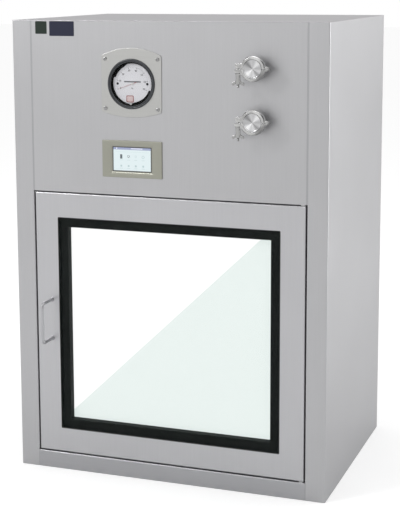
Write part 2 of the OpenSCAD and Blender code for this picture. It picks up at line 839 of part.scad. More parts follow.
// Pivot plates: a pin on a plate behind the rail or header, with a collar in the gap that the door rests on
module door_pivots() {
    collar = door_gap - collar_play;
    pin = sheet + pivot_plate_t + door_gap + pivot_reach - pin_short;
    plate_xy = [-pivot_plate_w / 2, -pivot_in + 2 * sheet];
    color("gray") for (side = [FRONT, REAR]) on_pivot(side) rotate([-90, 0, 0]) {
        translate([0, 0, rail_h]) {
            translate([plate_xy[0], plate_xy[1], -sheet - pivot_plate_t])
                cube([pivot_plate_w, pivot_plate_d, pivot_plate_t]);
            translate([0, 0, -sheet - pivot_plate_t]) cylinder(r = pivot_r, h = pin);
            cylinder(r = pivot_r + collar_w, h = collar);
        }
        translate([0, 0, header_z]) {
            translate([plate_xy[0], plate_xy[1], sheet]) cube([pivot_plate_w, pivot_plate_d, pivot_plate_t]);
            translate([0, 0, sheet + pivot_plate_t - pin]) cylinder(r = pivot_r, h = pin);
            translate([0, 0, -collar]) cylinder(r = pivot_r + collar_w, h = collar);
        }
    }
}

// ---------------------------------------------------------------- gauge

// Radius of an arc that rises this much over the plate's width
function plate_arc(rise) = (gplate_w * gplate_w / 4 + rise * rise) / (2 * rise);

module gauge_plate() {
    crown_r = plate_arc(gplate_crown);
    belly_r = plate_arc(gplate_belly);
    color("gainsboro") on_gauge() linear_extrude(gplate_t) difference() {
        intersection() {
            square([gplate_w, 2 * gplate_side], center = true);
            translate([0, gplate_side / 2 + gplate_crown - crown_r]) circle(crown_r, $fn = 128);
            translate([0, belly_r - gplate_side / 2 - gplate_belly]) circle(belly_r, $fn = 128);
        }
        circle(bezel_r + hole_fit);
        gauge_screw_places() circle(screw_r + hole_fit);
    }
}

// Gauge case: a cup with a flange behind the panel and two barbs at its back
module gauge_body() {
    color("dimgray") on_gauge() difference() {
        union() {
            translate([0, 0, -gauge_deep]) cylinder(r = gauge_body_r, h = gauge_deep + lens_z - dial_t);
            translate([0, 0, -sheet - gauge_flange_t]) cylinder(r = gauge_flange_r, h = gauge_flange_t);
            for (s = [-1, 1]) translate([s * barb_x, 0, -gauge_deep - barb_len])
                cylinder(r = barb_r, h = barb_len + cut);
        }
        translate([0, 0, dial_z - 2 * dial_t]) cylinder(r = gauge_cavity_r, h = through);
        translate([0, 0, -movement_deep]) cylinder(r = movement_r, h = movement_deep + dial_z);
    }
}

// Bezel ring: turned profile that stands on the case's flange, with a rounded crown, a seat for the lens
// and a skirt over the case
module gauge_bezel() {
    foot = -sheet;
    skirt = lens_z - dial_t;
    color("dimgray") on_gauge() rotate_extrude() difference() {
        union() {
            translate([bezel_in, foot]) square([bezel_r - bezel_in, bezel_top - bezel_round - foot]);
            translate([bezel_in + bezel_round, foot])
                square([bezel_r - bezel_in - 2 * bezel_round, bezel_top - foot]);
            for (r = [bezel_in + bezel_round, bezel_r - bezel_round]) translate([r, bezel_top - bezel_round])
                circle(bezel_round);
        }
        translate([0, foot - cut]) square([gauge_body_r, skirt - foot + cut]);
        translate([0, skirt - cut]) square([bezel_in + lens_lap, lens_t + dial_t + cut]);
    }
}

// Dial: a round face with a straight tab each side for its screws
module gauge_dial() {
    color("white") on_gauge() translate([0, 0, dial_z - 2 * dial_t]) linear_extrude(dial_t) difference() {
        union() {
            circle(dial_edge_r);
            intersection() {
                square([2 * gauge_cavity_r, dial_tab], center = true);
                circle(gauge_cavity_r - dial_fit);
            }
        }
        circle(spindle_r + run_clear);
    }
}

module gauge_lens() {
    color("lightcyan", 0.4) on_gauge() translate([0, 0, lens_z]) difference() {
        cylinder(r = bezel_in + lens_lap - 0.4, h = lens_t);
        translate([0, zero_screw_y, -cut]) cylinder(r = zero_screw_r + run_clear, h = lens_t + 2 * cut);
    }
}

// Pointer on its spindle, resting on the zero mark at the lower left
module gauge_pointer() {
    boss_h = 1.5;
    blade_t = 0.6;
    color("crimson") on_gauge() translate([0, 0, dial_z]) {
        translate([0, 0, -4 * boss_h]) cylinder(r = spindle_r, h = 5 * boss_h);
        cylinder(r = 4 * spindle_r, h = boss_h);
        rotate([0, 0, pointer_zero]) linear_extrude(blade_t) polygon([[0, -1.2], [pointer_len, -0.4],
            [pointer_len, 0.4], [0, 1.2], [-pointer_tail, 1.6], [-pointer_tail, -1.6]]);
    }
}

// Zero-adjust screw through the lens, with a slotted head
module gauge_zero_screw() {
    head_z = lens_t + seat_gap;
    color("silver") on_gauge() translate([0, zero_screw_y, lens_z]) difference() {
        union() {
            translate([0, 0, -zero_head_h]) cylinder(r = zero_screw_r, h = head_z + 2 * zero_head_h - cut);
            translate([0, 0, head_z]) cylinder(r = zero_head_r, h = zero_head_h);
        }
        translate([0, 0, head_z + zero_head_h])
            cube([3 * zero_head_r, zero_slot_w, zero_head_h * 0.7], center = true);
    }
}

// ---------------------------------------------------------------- air lines

// Where a sampling hose passes the deck, for the lower and the upper port
function hose_drop(k) = [port_x, -cab_d / 2 + hose_back + hose_step * k, deck_z];

module air_tubes() {
    color("whitesmoke") {
        for (k = [0, 1]) {
            run = hose_back + hose_step * k - ferrule_in - hose_bend;
            z = port_z + k * port_step;
            translate([port_x, -cab_d / 2 + ferrule_in, z]) {
                rotate([-90, 0, 0]) cylinder(r = hose_r, h = run);
                translate([0, run, 0]) tube_elbow(hose_bend, hose_r);
                translate([0, run + hose_bend, deck_z - z]) cylinder(r = hose_r, h = z - deck_z - hose_bend);
            }
        }
        for (s = [-1, 1]) translate([-instr_x + s * barb_x, -cab_d / 2 + gauge_deep + barb_len, gauge_z]) {
            tube_elbow(line_bend, line_r);
            translate([0, line_bend, deck_z + sheet - gauge_z])
                cylinder(r = line_r, h = gauge_z - deck_z - sheet - line_bend);
        }
    }
}

// Elbow from +y down to -z
module tube_elbow(bend, r) {
    mirror([0, 0, 1]) rotate([-90, 0, 0]) rotate([0, 0, -90]) quarter_bend(bend, r);
}

// ---------------------------------------------------------------- touch screen

module hmi_housing() {
    color("tan") on_face(FRONT) translate([-instr_x, hmi_z, 0]) difference() {
        union() {
            translate([0, 0, hmi_plate_t]) folded_slab(hmi_w, hmi_h, hmi_plate_t, hmi_round);
            plate(hmi_body_w, hmi_body_h, -hmi_body_d, hmi_body_d);
        }
        plate(window_w, window_h, -screen_deep, through);
        plate(window_w + 2 * window_rim, window_h + 2 * window_rim, hmi_plate_t - window_deep, through);
    }
}

module hmi_screen() {
    color("aliceblue") on_face(FRONT) translate([-instr_x, hmi_z, 0])
        plate(window_w - 2 * screen_fit, window_h - 2 * screen_fit, -screen_deep,
              screen_deep + hmi_plate_t - 2 * window_deep);
}

// ---------------------------------------------------------------- test ports

// Weld ferrule: tube through the panel, flange with a sloped back and a bored mouth
module port_ferrules() {
    face = clamp_out - gasket_t / 2;
    root = face - flange_t - (flange_r - hub_r) * flange_slope;
    color("silver") for (k = [0, 1]) on_port(k) difference() {
        rotate_extrude() polygon([[0, -ferrule_in], [tube_r, -ferrule_in], [tube_r, 0], [tube_r + weld_w, 0],
            [tube_r, weld_h], [tube_r, root - 2 * cut], [hub_r - cut, root], [flange_r, face - flange_t],
            [flange_r, face], [0, face]]);
        translate([0, 0, end_wall - ferrule_in])
            cylinder(r = tube_r - tube_wall, h = face + ferrule_in - end_wall + cut);
    }
}

module port_gaskets() {
    color("white") for (k = [0, 1]) on_port(k) translate([0, 0, clamp_out - gasket_t / 2]) difference() {
        cylinder(r = flange_r, h = gasket_t);
        translate([0, 0, -cut]) cylinder(r = tube_r - tube_wall, h = gasket_t + 2 * cut);
    }
}

// Blind cap: flange with a sloped front and a dished face
module port_caps() {
    back = clamp_out + gasket_t / 2;
    crown = back + flange_t + (flange_r - hub_r) * flange_slope;
    top = crown + cap_rise;
    color("gainsboro") for (k = [0, 1]) on_port(k) rotate_extrude()
        polygon([[0, back], [flange_r, back], [flange_r, back + flange_t], [hub_r, crown],
            [hub_r, top - cap_edge], [hub_r - cap_edge, top], [hub_r - cap_lip, top],
            [hub_r - cap_lip - cap_edge, top - cap_edge], [cap_lip, top - cap_dish], [0, top - cap_dish]]);
}

// Full clamp ring about the port's axis with its wedge groove, before it is split
module clamp_ring() {
    edge = clamp_w / 2;
    translate([0, 0, clamp_out]) rotate_extrude() polygon([
        [clamp_in, -edge], [clamp_r - clamp_edge, -edge], [clamp_r, clamp_edge - edge],
        [clamp_r, edge - clamp_edge], [clamp_r - clamp_edge, edge], [clamp_in, edge],
        [clamp_in, groove_mouth], [groove_r, groove_rim],
        [groove_r, -groove_rim], [clamp_in, -groove_mouth]]);
}

// Ear about the bolt pivot: two cheeks above the split, a slotted block below it
module clamp_ear(upper) {
    open = eye_t + eye_play;
    w = open + 2 * ear_cheek;
    if (upper) difference() {
        union() {
            translate([eye_x, eye_y, clamp_out]) cylinder(r = eye_r + ear_wall, h = w, center = true);
            translate([eye_x - cut, half_gap, clamp_out - w / 2])
                cube([-eye_x - clamp_in - clamp_edge, eye_y + eye_r - half_gap, w]);
        }
        translate([eye_x - through, -through, clamp_out - open / 2])
            cube([through + eye_r + 2 * ear_wall, 3 * through, open]);
        translate([eye_x, eye_y, clamp_out]) cylinder(r = lug_pin_r, h = 3 * through, center = true);
    }
    else intersection() {
        difference() {
            translate([eye_x - ear_block, eye_y - through, clamp_out - w / 2])
                cube([ear_w, through - eye_y - half_gap, w]);
            translate([eye_x - through, -2 * through, clamp_out - open / 2])
                cube([through + bolt_r + eye_play, 3 * through, open]);
        }
        union() {
            translate([eye_x, eye_y, clamp_out]) cylinder(r = ear_r, h = 3 * through, center = true);
            translate([eye_x + ear_block, -half_gap - ear_foot, 0])
                cube([ear_block + cut, ear_foot + cut, 3 * through]);
        }
    }
}

// Half of the clamp: ring, hinge lug and ear on one side of the split
module clamp_half(upper) {
    reach = 2 * clamp_r;
    difference() {
        union() {
            intersection() {
                clamp_ring();
                translate([-reach / 2, upper ? half_gap : -reach - half_gap, 0])
                    cube([reach, reach, 2 * clamp_out]);
            }
            clamp_ear(upper);
            hinge_lugs(upper);
        }
        translate([lug_x, 0, clamp_out]) cylinder(r = lug_pin_r, h = 3 * through, center = true);
        if (upper) translate([lug_x, 0, clamp_out]) difference() {
            cylinder(r = lug_r + seat_gap, h = 2 * through, center = true);
            cube([3 * through, 3 * through, 2 * lug_mid], center = true);
        }
        else translate([lug_x, 0, clamp_out])
            cylinder(r = lug_r + seat_gap, h = 2 * (lug_mid + seat_gap), center = true);
        translate([0, 0, clamp_out]) cylinder(r = clamp_in, h = 3 * through, center = true);
        flange_clear();
    }
}

// The wedge groove once more, so that ears and lugs stay out of it
module flange_clear() {
    translate([0, 0, clamp_out]) rotate_extrude() polygon([[0, -groove_mouth], [clamp_in, -groove_mouth],
        [groove_r, -groove_rim], [groove_r, groove_rim], [clamp_in, groove_mouth], [0, groove_mouth]]);
}

// Knuckles of the clamp's own hinge: one in the middle above, two outer ones below
module hinge_lugs(upper) {
    arm = lug_x - clamp_r + ear_cheek;
    outer = clamp_w / 2 - lug_mid - seat_gap;
    for (s = upper ? [0] : [-1, 1]) {
        t = upper ? 2 * lug_mid : outer;
        translate([lug_x, 0, clamp_out + s * (lug_mid + seat_gap + outer / 2)]) {
            cylinder(r = lug_r, h = t, center = true);
            translate([-arm / 2, (upper ? 1 : -1) * (lug_r / 2 + half_gap / 2), 0])
                cube([arm, lug_r - half_gap, t], center = true);
        }
    }
}

module port_clamps() {
    color("silver") for (k = [0, 1], upper = [true, false]) on_port(k) clamp_half(upper);
}

module port_clamp_pins() {
    color("gray") for (k = [0, 1]) on_port(k) for (at = [[lug_x, 0], [eye_x, eye_y]])
        translate([at[0], at[1], clamp_out]) cylinder(r = lug_pin_r, h = clamp_w - 1, center = true);
}

// Swing bolt: flat eye on the pivot pin and a straight shank hanging down from it
module swing_bolt(k) {
    color("silver") on_port(k) translate([eye_x, eye_y, clamp_out]) difference() {
        union() {
            cylinder(r = eye_r, h = eye_t, center = true);
            rotate([90, 0, 0]) cylinder(r = bolt_r, h = bolt_len);
        }
        cylinder(r = lug_pin_r + run_clear, h = through, center = true);
    }
}

// Wing nut: tall turned hub against the ear, two flared wings at its far end
module wing_nut(k) {
    root = nut_r - nut_collar;
    tip = nut_len - nut_collar_h / 2;
    seat = [eye_x, eye_y - ear_r - seat_gap, clamp_out];
    color("silver") on_port(k) translate(seat) rotate([90, 0, 0]) difference() {
        union() {
            rotate_extrude() polygon([[0, 0], [nut_r + nut_collar, 0], [nut_r + nut_collar, nut_collar_h],
                [nut_r, 2 * nut_collar_h], [nut_r, nut_len - nut_collar_h],
                [nut_r - nut_collar_h, nut_len], [0, nut_len]]);
            for (s = [-1, 1]) scale([s, 1, 1]) translate([0, wing_t / 2, 0]) rotate([90, 0, 0])
                linear_extrude(wing_t) {
                    polygon([[root, nut_len - wing_root], [wing_x, nut_len - wing_root / 2],
                        [wing_x + wing_r * 0.8, tip], [wing_x - nut_collar_h, nut_len + wing_t * 0.8],
                        [root, nut_len - wing_t]]);
                    translate([wing_x, tip]) circle(wing_r);
                }
        }
        translate([0, 0, -cut]) cylinder(r = bolt_r + run_clear, h = 3 * through);
    }
}

module upper_swing_bolt() { swing_bolt(1); }

module lower_swing_bolt() { swing_bolt(0); }

module upper_wing_nut() { wing_nut(1); }

module lower_wing_nut() { wing_nut(0); }

// ---------------------------------------------------------------- doors, each drawn once for both sides

// Outer pan with the window cut-out and a pivot block welded into its two hinge corners
module door_skin(side) {
    color("silver") on_face(side) translate([0, door_mid, 0]) difference() {
        union() {
            difference() {
                folded_slab(leaf_w, door_h, door_t, bend_r);
                plate(leaf_w - 2 * sheet, door_h - 2 * sheet, -door_t - cut, door_t - sheet + cut);
                plate(glass_w + 2 * pane_clear, glass_h + 2 * pane_clear, -2 * sheet, 4 * sheet);
            }
            for (s = [-1, 1]) translate([pivot_x, s * (door_h / 2 - sheet / 2 - pivot_reach / 2), -pivot_in])
                cube([pivot_block, pivot_reach - sheet, pivot_block], center = true);
        }
        for (s = [-1, 1]) translate([pivot_x, s * door_h / 2, -pivot_in]) rotate([90, 0, 0])
            cylinder(r = pivot_r + run_clear, h = 2 * pivot_reach - 4, center = true);
    }
}

// Inner pan nested in the outer one, its edges folded forward
module door_liner(side) {
    w = leaf_w - 2 * sheet - 2 * seat_gap;
    h = door_h - 2 * sheet - 2 * seat_gap;
    color("gainsboro") on_face(side) translate([0, door_mid, 0]) {
        ring(w, h, glass_w + 2 * pane_clear, glass_h + 2 * pane_clear, -door_t, sheet);
        ring(w, h, w - 2 * sheet, h - 2 * sheet, -door_t + sheet, liner_fold - sheet);
    }
}

// Black frame between the panes, with a lip behind each skin
module glazing_frame(side) {
    w = glass_w + 2 * lip_w;
    h = glass_h + 2 * lip_w;
    front = sheet;
    back = door_t - sheet;
    color("black") on_face(side) translate([0, door_mid, 0]) {
        ring(w, h, reveal_glass_w, reveal_glass_h, -inner_pane_z, inner_pane_z - glass_t - pane_set);
        ring(w, h, glass_w + 2 * pane_clear, glass_h + 2 * pane_clear,
             -glass_t - pane_set, glass_t + pane_set - front);
        ring(w, h, glass_w + 2 * pane_clear, glass_h + 2 * pane_clear, -back, back - inner_pane_z);
    }
}

module pane(z0) {
    translate([0, door_mid, z0]) linear_extrude(glass_t) round_rect(glass_w, glass_h, pane_corner);
}

module outer_glass(side) { color("lightcyan", 0.5) on_face(side) pane(-glass_t - pane_set); }

module inner_glass(side) { color("honeydew", 0.8) on_face(side) pane(-inner_pane_z - glass_t); }

// Bulb seal on the liner: a flat base and a half-round bead that stops short of the seal frame
module door_gasket(side) {
    tall = seal_gap - seat_gap;
    color("darkslategray") on_face(side) translate([0, door_mid, -door_t])
        mitred_frame(2 * gasket_mid, 2 * gasket_mid_h, gasket_w) {
            translate([-gasket_w / 2, -gasket_base]) square([gasket_w, gasket_base]);
            intersection() {
                translate([0, gasket_bead - tall]) circle(gasket_bead);
                translate([-gasket_bead, -tall]) square([2 * gasket_bead, tall]);
            }
        }
}

// Bent round bar with both legs on the door skin
module handle(side) {
    r = handle_d / 2;
    color("silver") on_face(side) translate([-handle_x, door_mid + handle_up - handle_len / 2, 0])
        rotate([0, 0, 90]) {
        for (s = [0, 1]) translate([s * handle_len, 0, 0]) cylinder(r = r, h = handle_out - handle_bend);
        translate([0, 0, handle_out - handle_bend]) quarter_bend(handle_bend, r);
        translate([handle_len, 0, handle_out - handle_bend]) mirror([1, 0, 0]) quarter_bend(handle_bend, r);
        translate([handle_bend, 0, handle_out]) rotate([0, 90, 0])
            cylinder(r = r, h = handle_len - 2 * handle_bend);
    }
}

// Discs on the liner that the door magnets hold
module armature(side) {
    color("gray") on_face(side) magnet_places() translate([0, 0, -door_t - armature_t])
        cylinder(r = magnet_r, h = armature_t);
}

module front_door_skin() { door_skin(FRONT); }
module front_door_liner() { door_liner(FRONT); }
module front_glazing_frame() { glazing_frame(FRONT); }
module front_outer_glass() { outer_glass(FRONT); }
module front_inner_glass() { inner_glass(FRONT); }
module front_door_gasket() { door_gasket(FRONT); }
module front_handle() { handle(FRONT); }
module front_armature() { armature(FRONT); }
module rear_door_skin() { door_skin(REAR); }
module rear_door_liner() { door_liner(REAR); }
module rear_glazing_frame() { glazing_frame(REAR); }
module rear_outer_glass() { outer_glass(REAR); }
module rear_inner_glass() { inner_glass(REAR); }
module rear_door_gasket() { door_gasket(REAR); }
module rear_handle() { handle(REAR); }
module rear_armature() { armature(REAR); }

left_side_panel();
right_side_panel();
top_panel();
base_pan();
header_rails();
control_panel();
service_panel();
panel_screws();
cable_gland();
seal_frames();
chamber_floor();
chamber_walls();
return_grilles();
diffuser_tray();
filter_frame();
filter_media();
blower_deck();
blower_housing();
blower_motor();
impeller();
uv_tube();
uv_holders();
control_box();
door_magnets();
door_pivots();
gauge_plate();
gauge_body();
gauge_bezel();
gauge_dial();
gauge_lens();
gauge_pointer();
gauge_zero_screw();
air_tubes();
hmi_housing();
hmi_screen();
port_ferrules();
port_gaskets();
port_caps();
port_clamps();
port_clamp_pins();
upper_swing_bolt();
lower_swing_bolt();
upper_wing_nut();
lower_wing_nut();
front_door_skin();
front_door_liner();
front_glazing_frame();
front_outer_glass();
front_inner_glass();
front_door_gasket();
front_handle();
front_armature();
rear_door_skin();
rear_door_liner();
rear_glazing_frame();
rear_outer_glass();
rear_inner_glass();
rear_door_gasket();
rear_handle();
rear_armature();
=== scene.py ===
# %% [markdown]
# # Cleanroom pass box
# A pass box is a steel transfer hatch in a cleanroom's wall. Goods go in at one door and come out at the
# other, and filtered air washes the chamber between them. The box, its doors and its fittings arrive here as
# a finished frame of solids. This lesson gives them their finishes, and adds what solids don't carry well:
# soft edges, brushed grain, a printed dial, a lit screen, threads and seals.

# %% Load the frame
import math

import bmesh
import bpy
import numpy as np
from mathutils import Matrix, Vector


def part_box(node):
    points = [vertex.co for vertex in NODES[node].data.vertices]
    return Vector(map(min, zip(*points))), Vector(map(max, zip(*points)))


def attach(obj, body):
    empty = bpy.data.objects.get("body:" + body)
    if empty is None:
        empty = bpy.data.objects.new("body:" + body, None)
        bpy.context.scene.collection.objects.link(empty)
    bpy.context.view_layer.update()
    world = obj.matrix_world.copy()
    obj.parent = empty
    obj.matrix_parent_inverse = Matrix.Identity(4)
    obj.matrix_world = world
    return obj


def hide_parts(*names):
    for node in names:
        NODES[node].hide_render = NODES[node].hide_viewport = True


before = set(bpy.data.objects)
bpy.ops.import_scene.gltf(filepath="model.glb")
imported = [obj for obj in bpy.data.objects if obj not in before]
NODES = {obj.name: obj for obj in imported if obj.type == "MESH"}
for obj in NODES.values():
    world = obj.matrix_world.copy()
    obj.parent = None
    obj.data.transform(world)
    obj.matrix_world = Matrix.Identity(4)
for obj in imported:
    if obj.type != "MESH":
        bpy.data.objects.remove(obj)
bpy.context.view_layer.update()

# %% [markdown]
# ## Where things are
# Both faces of the box are drawn in the same way: x to the right, y up, z out of the face, in millimetres.
# One function turns such points into places in the room, so a part that sits on the front and on the rear is
# written once. Where the frame already has a piece, its middle is read from the frame.

# %% Faces of the box
SIDES = {"front": 1, "rear": -1}
HALF_DEPTH = round(-1000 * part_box("base_pan")[0].y, 3)


def on_face(points, side="front"):
    """Face millimetres to metres. On the rear x and z change sign together, as on the front turned round."""
    p = np.asarray(points, float)
    s = SIDES[side]
    return np.stack([s * p[..., 0], -s * (HALF_DEPTH + p[..., 2]), p[..., 1]], -1) / 1000


def middle(node):
    """Middle of a front piece's box, in face millimetres, on the face itself."""
    lo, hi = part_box(node)
    return np.array([round(500 * (lo.x + hi.x), 2), round(500 * (lo.z + hi.z), 2), 0.0])


GAUGE = middle("gauge_dial")
SCREEN = middle("hmi_screen")
LEAF = middle("front_outer_glass")
PORT_X = 230
PORTS = {"lower": np.array([PORT_X, 906, 0.0]), "upper": np.array([PORT_X, 1029, 0.0])}
print("gauge", GAUGE[:2], "screen", SCREEN[:2], "door", LEAF[:2], "mm")

# %% [markdown]
# ## Surfaces from grids
# Each new piece starts as a grid of points worked out by numpy. One function joins the grid's neighbours
# into four-sided faces, closes it where it meets itself, and turns the faces outwards. Modifiers could bend
# ready-made cylinders into these shapes too, but a formula keeps every radius exact.

# %% Grid to mesh


def put(name, data):
    """New object in the scene that shows a mesh, lamp or camera."""
    obj = bpy.data.objects.new(name, data)
    bpy.context.collection.objects.link(obj)
    return obj


def piece(name, parts, body, finish, smooth=40):
    """Mesh from one or more grids: in each, rows run along u, columns along v, and neighbours share a face.
    A grid is (points, u closes, v closes, ends get a cap)."""
    verts, faces, start = [], [], 0
    for points, wrap_u, wrap_v, caps in parts:
        nu, nv = points.shape[:2]
        spans = np.arange(nu if wrap_u else nu - 1), np.arange(nv if wrap_v else nv - 1)
        i, j = (k.ravel() for k in np.meshgrid(*spans, indexing="ij"))
        i2, j2 = (i + 1) % nu, (j + 1) % nv
        quads = np.stack([i * nv + j, i2 * nv + j, i2 * nv + j2, i * nv + j2], -1) + start
        faces += quads.tolist()
        if caps:
            first = range(start + nv - 1, start - 1, -1)
            last = range(start + (nu - 1) * nv, start + nu * nv)
            faces += [list(first), list(last)]
        verts.append(points.reshape(-1, 3))
        start += nu * nv
    mesh = bpy.data.meshes.new(name)
    mesh.from_pydata(np.concatenate(verts).tolist(), [], faces)
    bm = bmesh.new()
    bm.from_mesh(mesh)
    bmesh.ops.remove_doubles(bm, verts=bm.verts, dist=1e-6)
    bmesh.ops.dissolve_degenerate(bm, edges=bm.edges, dist=1e-7)
    bmesh.ops.recalc_face_normals(bm, faces=bm.faces)
    bm.to_mesh(mesh)
    bm.free()
    mesh.shade_smooth()
    mesh.set_sharp_from_angle(angle=math.radians(smooth))
    mesh.materials.append(finish)
    obj = put(name, mesh)
    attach(obj, body)
    print(f"{name}: {len(mesh.polygons)} faces")
    return obj


# %% [markdown]
# A grid closes in one of three ways. A block is a stack of rings with a cap at each end, a hoop's last ring
# meets its first, and a spindle begins and ends in a point on its axis.

# %% Kinds of grid
SKIN = 0.02    # new pieces stand this far off the solid under them, so that two faces never share a place


def block(points, side="front"):
    return (on_face(points, side), False, True, True)


def hoop(points, side="front"):
    return (on_face(points, side), True, True, False)


def spindle(points, side="front"):
    return (on_face(points, side), False, True, False)


print("grids close as blocks, hoops and spindles")

# %% [markdown]
# ## Rings and outlines
# Nearly everything on a sheet metal box is turned, cut from flat stock or folded, so rings and rounded
# rectangles cover most of it. An outline is a closed row of points, and outlines at rising heights make a
# grid.

# %% Rings and outlines


def around(steps):
    """Angles of one turn in even steps, without the last, which is the first again."""
    return np.linspace(0, 2 * np.pi, steps, endpoint=False)


def polar(r, a):
    """Points (r cos a, r sin a)."""
    return np.stack([r * np.cos(a), r * np.sin(a)], -1)


def turned(profile, centre, steps=96):
    """Profile (radius, height) carried round a circle about the face's normal at the centre."""
    profile = np.asarray(profile, float)
    a = around(steps)
    r, z = profile[:, 0, None], profile[:, 1, None]
    return np.stack([r * np.cos(a), r * np.sin(a), z + 0 * a], -1) + centre


def box_outline(w, h, r, steps=8):
    """Rounded rectangle: quarter circles of radius r about the four corner centres, joined by straight
    sides."""
    r = max(r, 1e-4)
    a = np.linspace(0, np.pi / 2, steps)
    out = []
    for k, (sx, sy) in enumerate([(1, 1), (-1, 1), (-1, -1), (1, -1)]):
        out.append(polar(r, a + k * np.pi / 2) + [sx * (w / 2 - r), sy * (h / 2 - r)])
    return np.concatenate(out)


def lift(outline, z):
    """Flat outline at height z."""
    return np.concatenate([outline, np.full((len(outline), 1), float(z))], 1)


def layers(*rings):
    """Outlines at their heights, one row of the grid each."""
    return np.stack([lift(outline, z) for outline, z in rings])


def stacked(rings, centre, steps=8):
    """Rounded rectangles (width, height, corner, z) joined one to the next."""
    return layers(*[(box_outline(w, h, r, steps), z) for w, h, r, z in rings]) + centre


print("ring of 4:", polar(1, around(4)).round(1).tolist())

# %% [markdown]
# ## Slabs and bars
# A flat casting has round edges, and a bent bar is round across. The slab's rings move in along the
# outline's own normals as they climb, so every edge gets the same radius, also at a corner. The bar's circle
# is carried along its path by a frame that turns as little as it can, so the bar doesn't twist in a bend.

# %% Slabs and bars


def soft_slab(outline, z0, z1, edge, centre, steps=5):
    """Slab over a closed outline with round edges: each ring moves in along the outline's normals by
    edge * (1 - cos t) while it climbs by edge * sin t."""
    p = np.asarray(outline, float)
    ahead, back = np.roll(p, -1, 0) - p, p - np.roll(p, 1, 0)
    ahead /= np.linalg.norm(ahead, axis=1)[:, None]
    back /= np.linalg.norm(back, axis=1)[:, None]
    mid = ahead + back
    mid /= np.linalg.norm(mid, axis=1)[:, None]
    inward = np.stack([-mid[:, 1], mid[:, 0]], -1)
    t = np.linspace(0, np.pi / 2, steps)
    moves = [(edge * (1 - math.cos(a)), z0 + edge - edge * math.sin(a)) for a in t[::-1]]
    moves += [(edge * (1 - math.cos(a)), z1 - edge + edge * math.sin(a)) for a in t]
    return layers(*[(p + inward * d, z) for d, z in moves]) + centre


def swept(path, radius, steps=24):
    """Circle of the given radius at each point of a path, in the plane across the path there. The frame's
    side is the last one's, made square to the path again."""
    path = np.asarray(path, float)
    along = np.gradient(path, axis=0)
    along /= np.linalg.norm(along, axis=1)[:, None]
    side = np.array([0.0, 0, 1]) if abs(along[0, 2]) < 0.9 else np.array([1.0, 0, 0])
    frames = []
    for t in along:
        side = side - t * side.dot(t)
        side /= np.linalg.norm(side)
        frames.append((side, np.cross(t, side)))
    n = np.array([f[0] for f in frames])[:, None]
    b = np.array([f[1] for f in frames])[:, None]
    a = around(steps)[None, :, None]
    r = np.broadcast_to(radius, len(path))[:, None, None]
    return path[:, None] + r * (np.cos(a) * n + np.sin(a) * b)


print("slabs and bars ready")

# %% [markdown]
# ## Building node trees
# A finish is a small graph of shader nodes. Adding and linking each node by hand takes several lines, so a
# few helpers do it: one adds a node and fills its inputs by name, another does arithmetic. An input takes a
# plain number or another node's output, and the helper finds out which.

# %% Node helpers


def feed(tree, socket, value):
    """Link the socket to another node's output, or set it to a plain value."""
    if isinstance(value, bpy.types.NodeSocket):
        tree.links.new(value, socket)
    else:
        socket.default_value = value


def add(tree, kind, **inputs):
    """New shader node whose inputs are filled by name, with an underscore for each space."""
    node = tree.nodes.new("ShaderNode" + kind)
    for name, value in inputs.items():
        feed(tree, node.inputs[name.replace("_", " ")], value)
    return node


def maths(tree, operation, *values):
    """Result of one arithmetic step."""
    node = add(tree, "Math")
    node.operation = operation
    for socket, value in zip(node.inputs, values):
        feed(tree, socket, value)
    return node.outputs[0]


def scaled(tree, vector, factor):
    """A colour or vector times a number."""
    node = add(tree, "VectorMath")
    node.operation = "SCALE"
    feed(tree, node.inputs[0], vector)
    feed(tree, node.inputs["Scale"], factor)
    return node.outputs[0]


def object_xyz(tree):
    """The place on the object in metres, as three numbers."""
    return add(tree, "SeparateXYZ", Vector=add(tree, "TexCoord").outputs["Object"]).outputs


print("node helpers ready")

# %% [markdown]
# ## Brushed steel
# Stainless sheet is sanded in one direction, so its gloss is drawn out across the grain. Noise that is
# stretched a hundredfold along one axis gives that grain, and a slow noise adds the cloudy hand marks. The
# grain only shifts colour and roughness a little, because at arm's length brushed steel looks almost even.

# %% Finish maker
CLOUDS_PER_METRE = 5.0
GRAIN_DEPTH = 0.0002
DULLING = 0.8      # how much of the waver goes into the roughness


def finish(name, colour, metallic=0.0, rough=0.5, grain=300, shade=0.06, cloud=0.04, bump=0.1, **even):
    """Principled surface. The grain, so many cells per metre along x, y and z, and a slow cloud add up to a
    waver about 0: the colour is scaled by 1 + waver, and the roughness is rough + DULLING * waver."""
    mat = bpy.data.materials.new(name)
    mat.use_nodes = True
    tree = mat.node_tree
    shader = tree.nodes["Principled BSDF"]
    place = add(tree, "TexCoord").outputs["Object"]
    stretch = add(tree, "Mapping", Vector=place, Scale=[float(g) for g in np.broadcast_to(grain, 3)])
    fine = add(tree, "TexNoise", Vector=stretch.outputs["Vector"], Scale=1.0, Detail=3.0).outputs["Fac"]
    slow = add(tree, "TexNoise", Vector=place, Scale=CLOUDS_PER_METRE, Detail=2.0).outputs["Fac"]
    from_grain = maths(tree, "MULTIPLY_ADD", fine, shade, -0.5 * (shade + cloud))
    waver = maths(tree, "MULTIPLY_ADD", slow, cloud, from_grain)
    feed(tree, shader.inputs["Base Color"], scaled(tree, colour, maths(tree, "ADD", waver, 1.0)))
    feed(tree, shader.inputs["Roughness"], maths(tree, "MULTIPLY_ADD", waver, DULLING, rough))
    if bump:
        relief = add(tree, "Bump", Height=fine, Strength=bump, Distance=GRAIN_DEPTH)
        feed(tree, shader.inputs["Normal"], relief.outputs["Normal"])
    for socket, value in {"Metallic": metallic, **even}.items():
        shader.inputs[socket.replace("_", " ")].default_value = value
    return mat


print("finish maker ready")

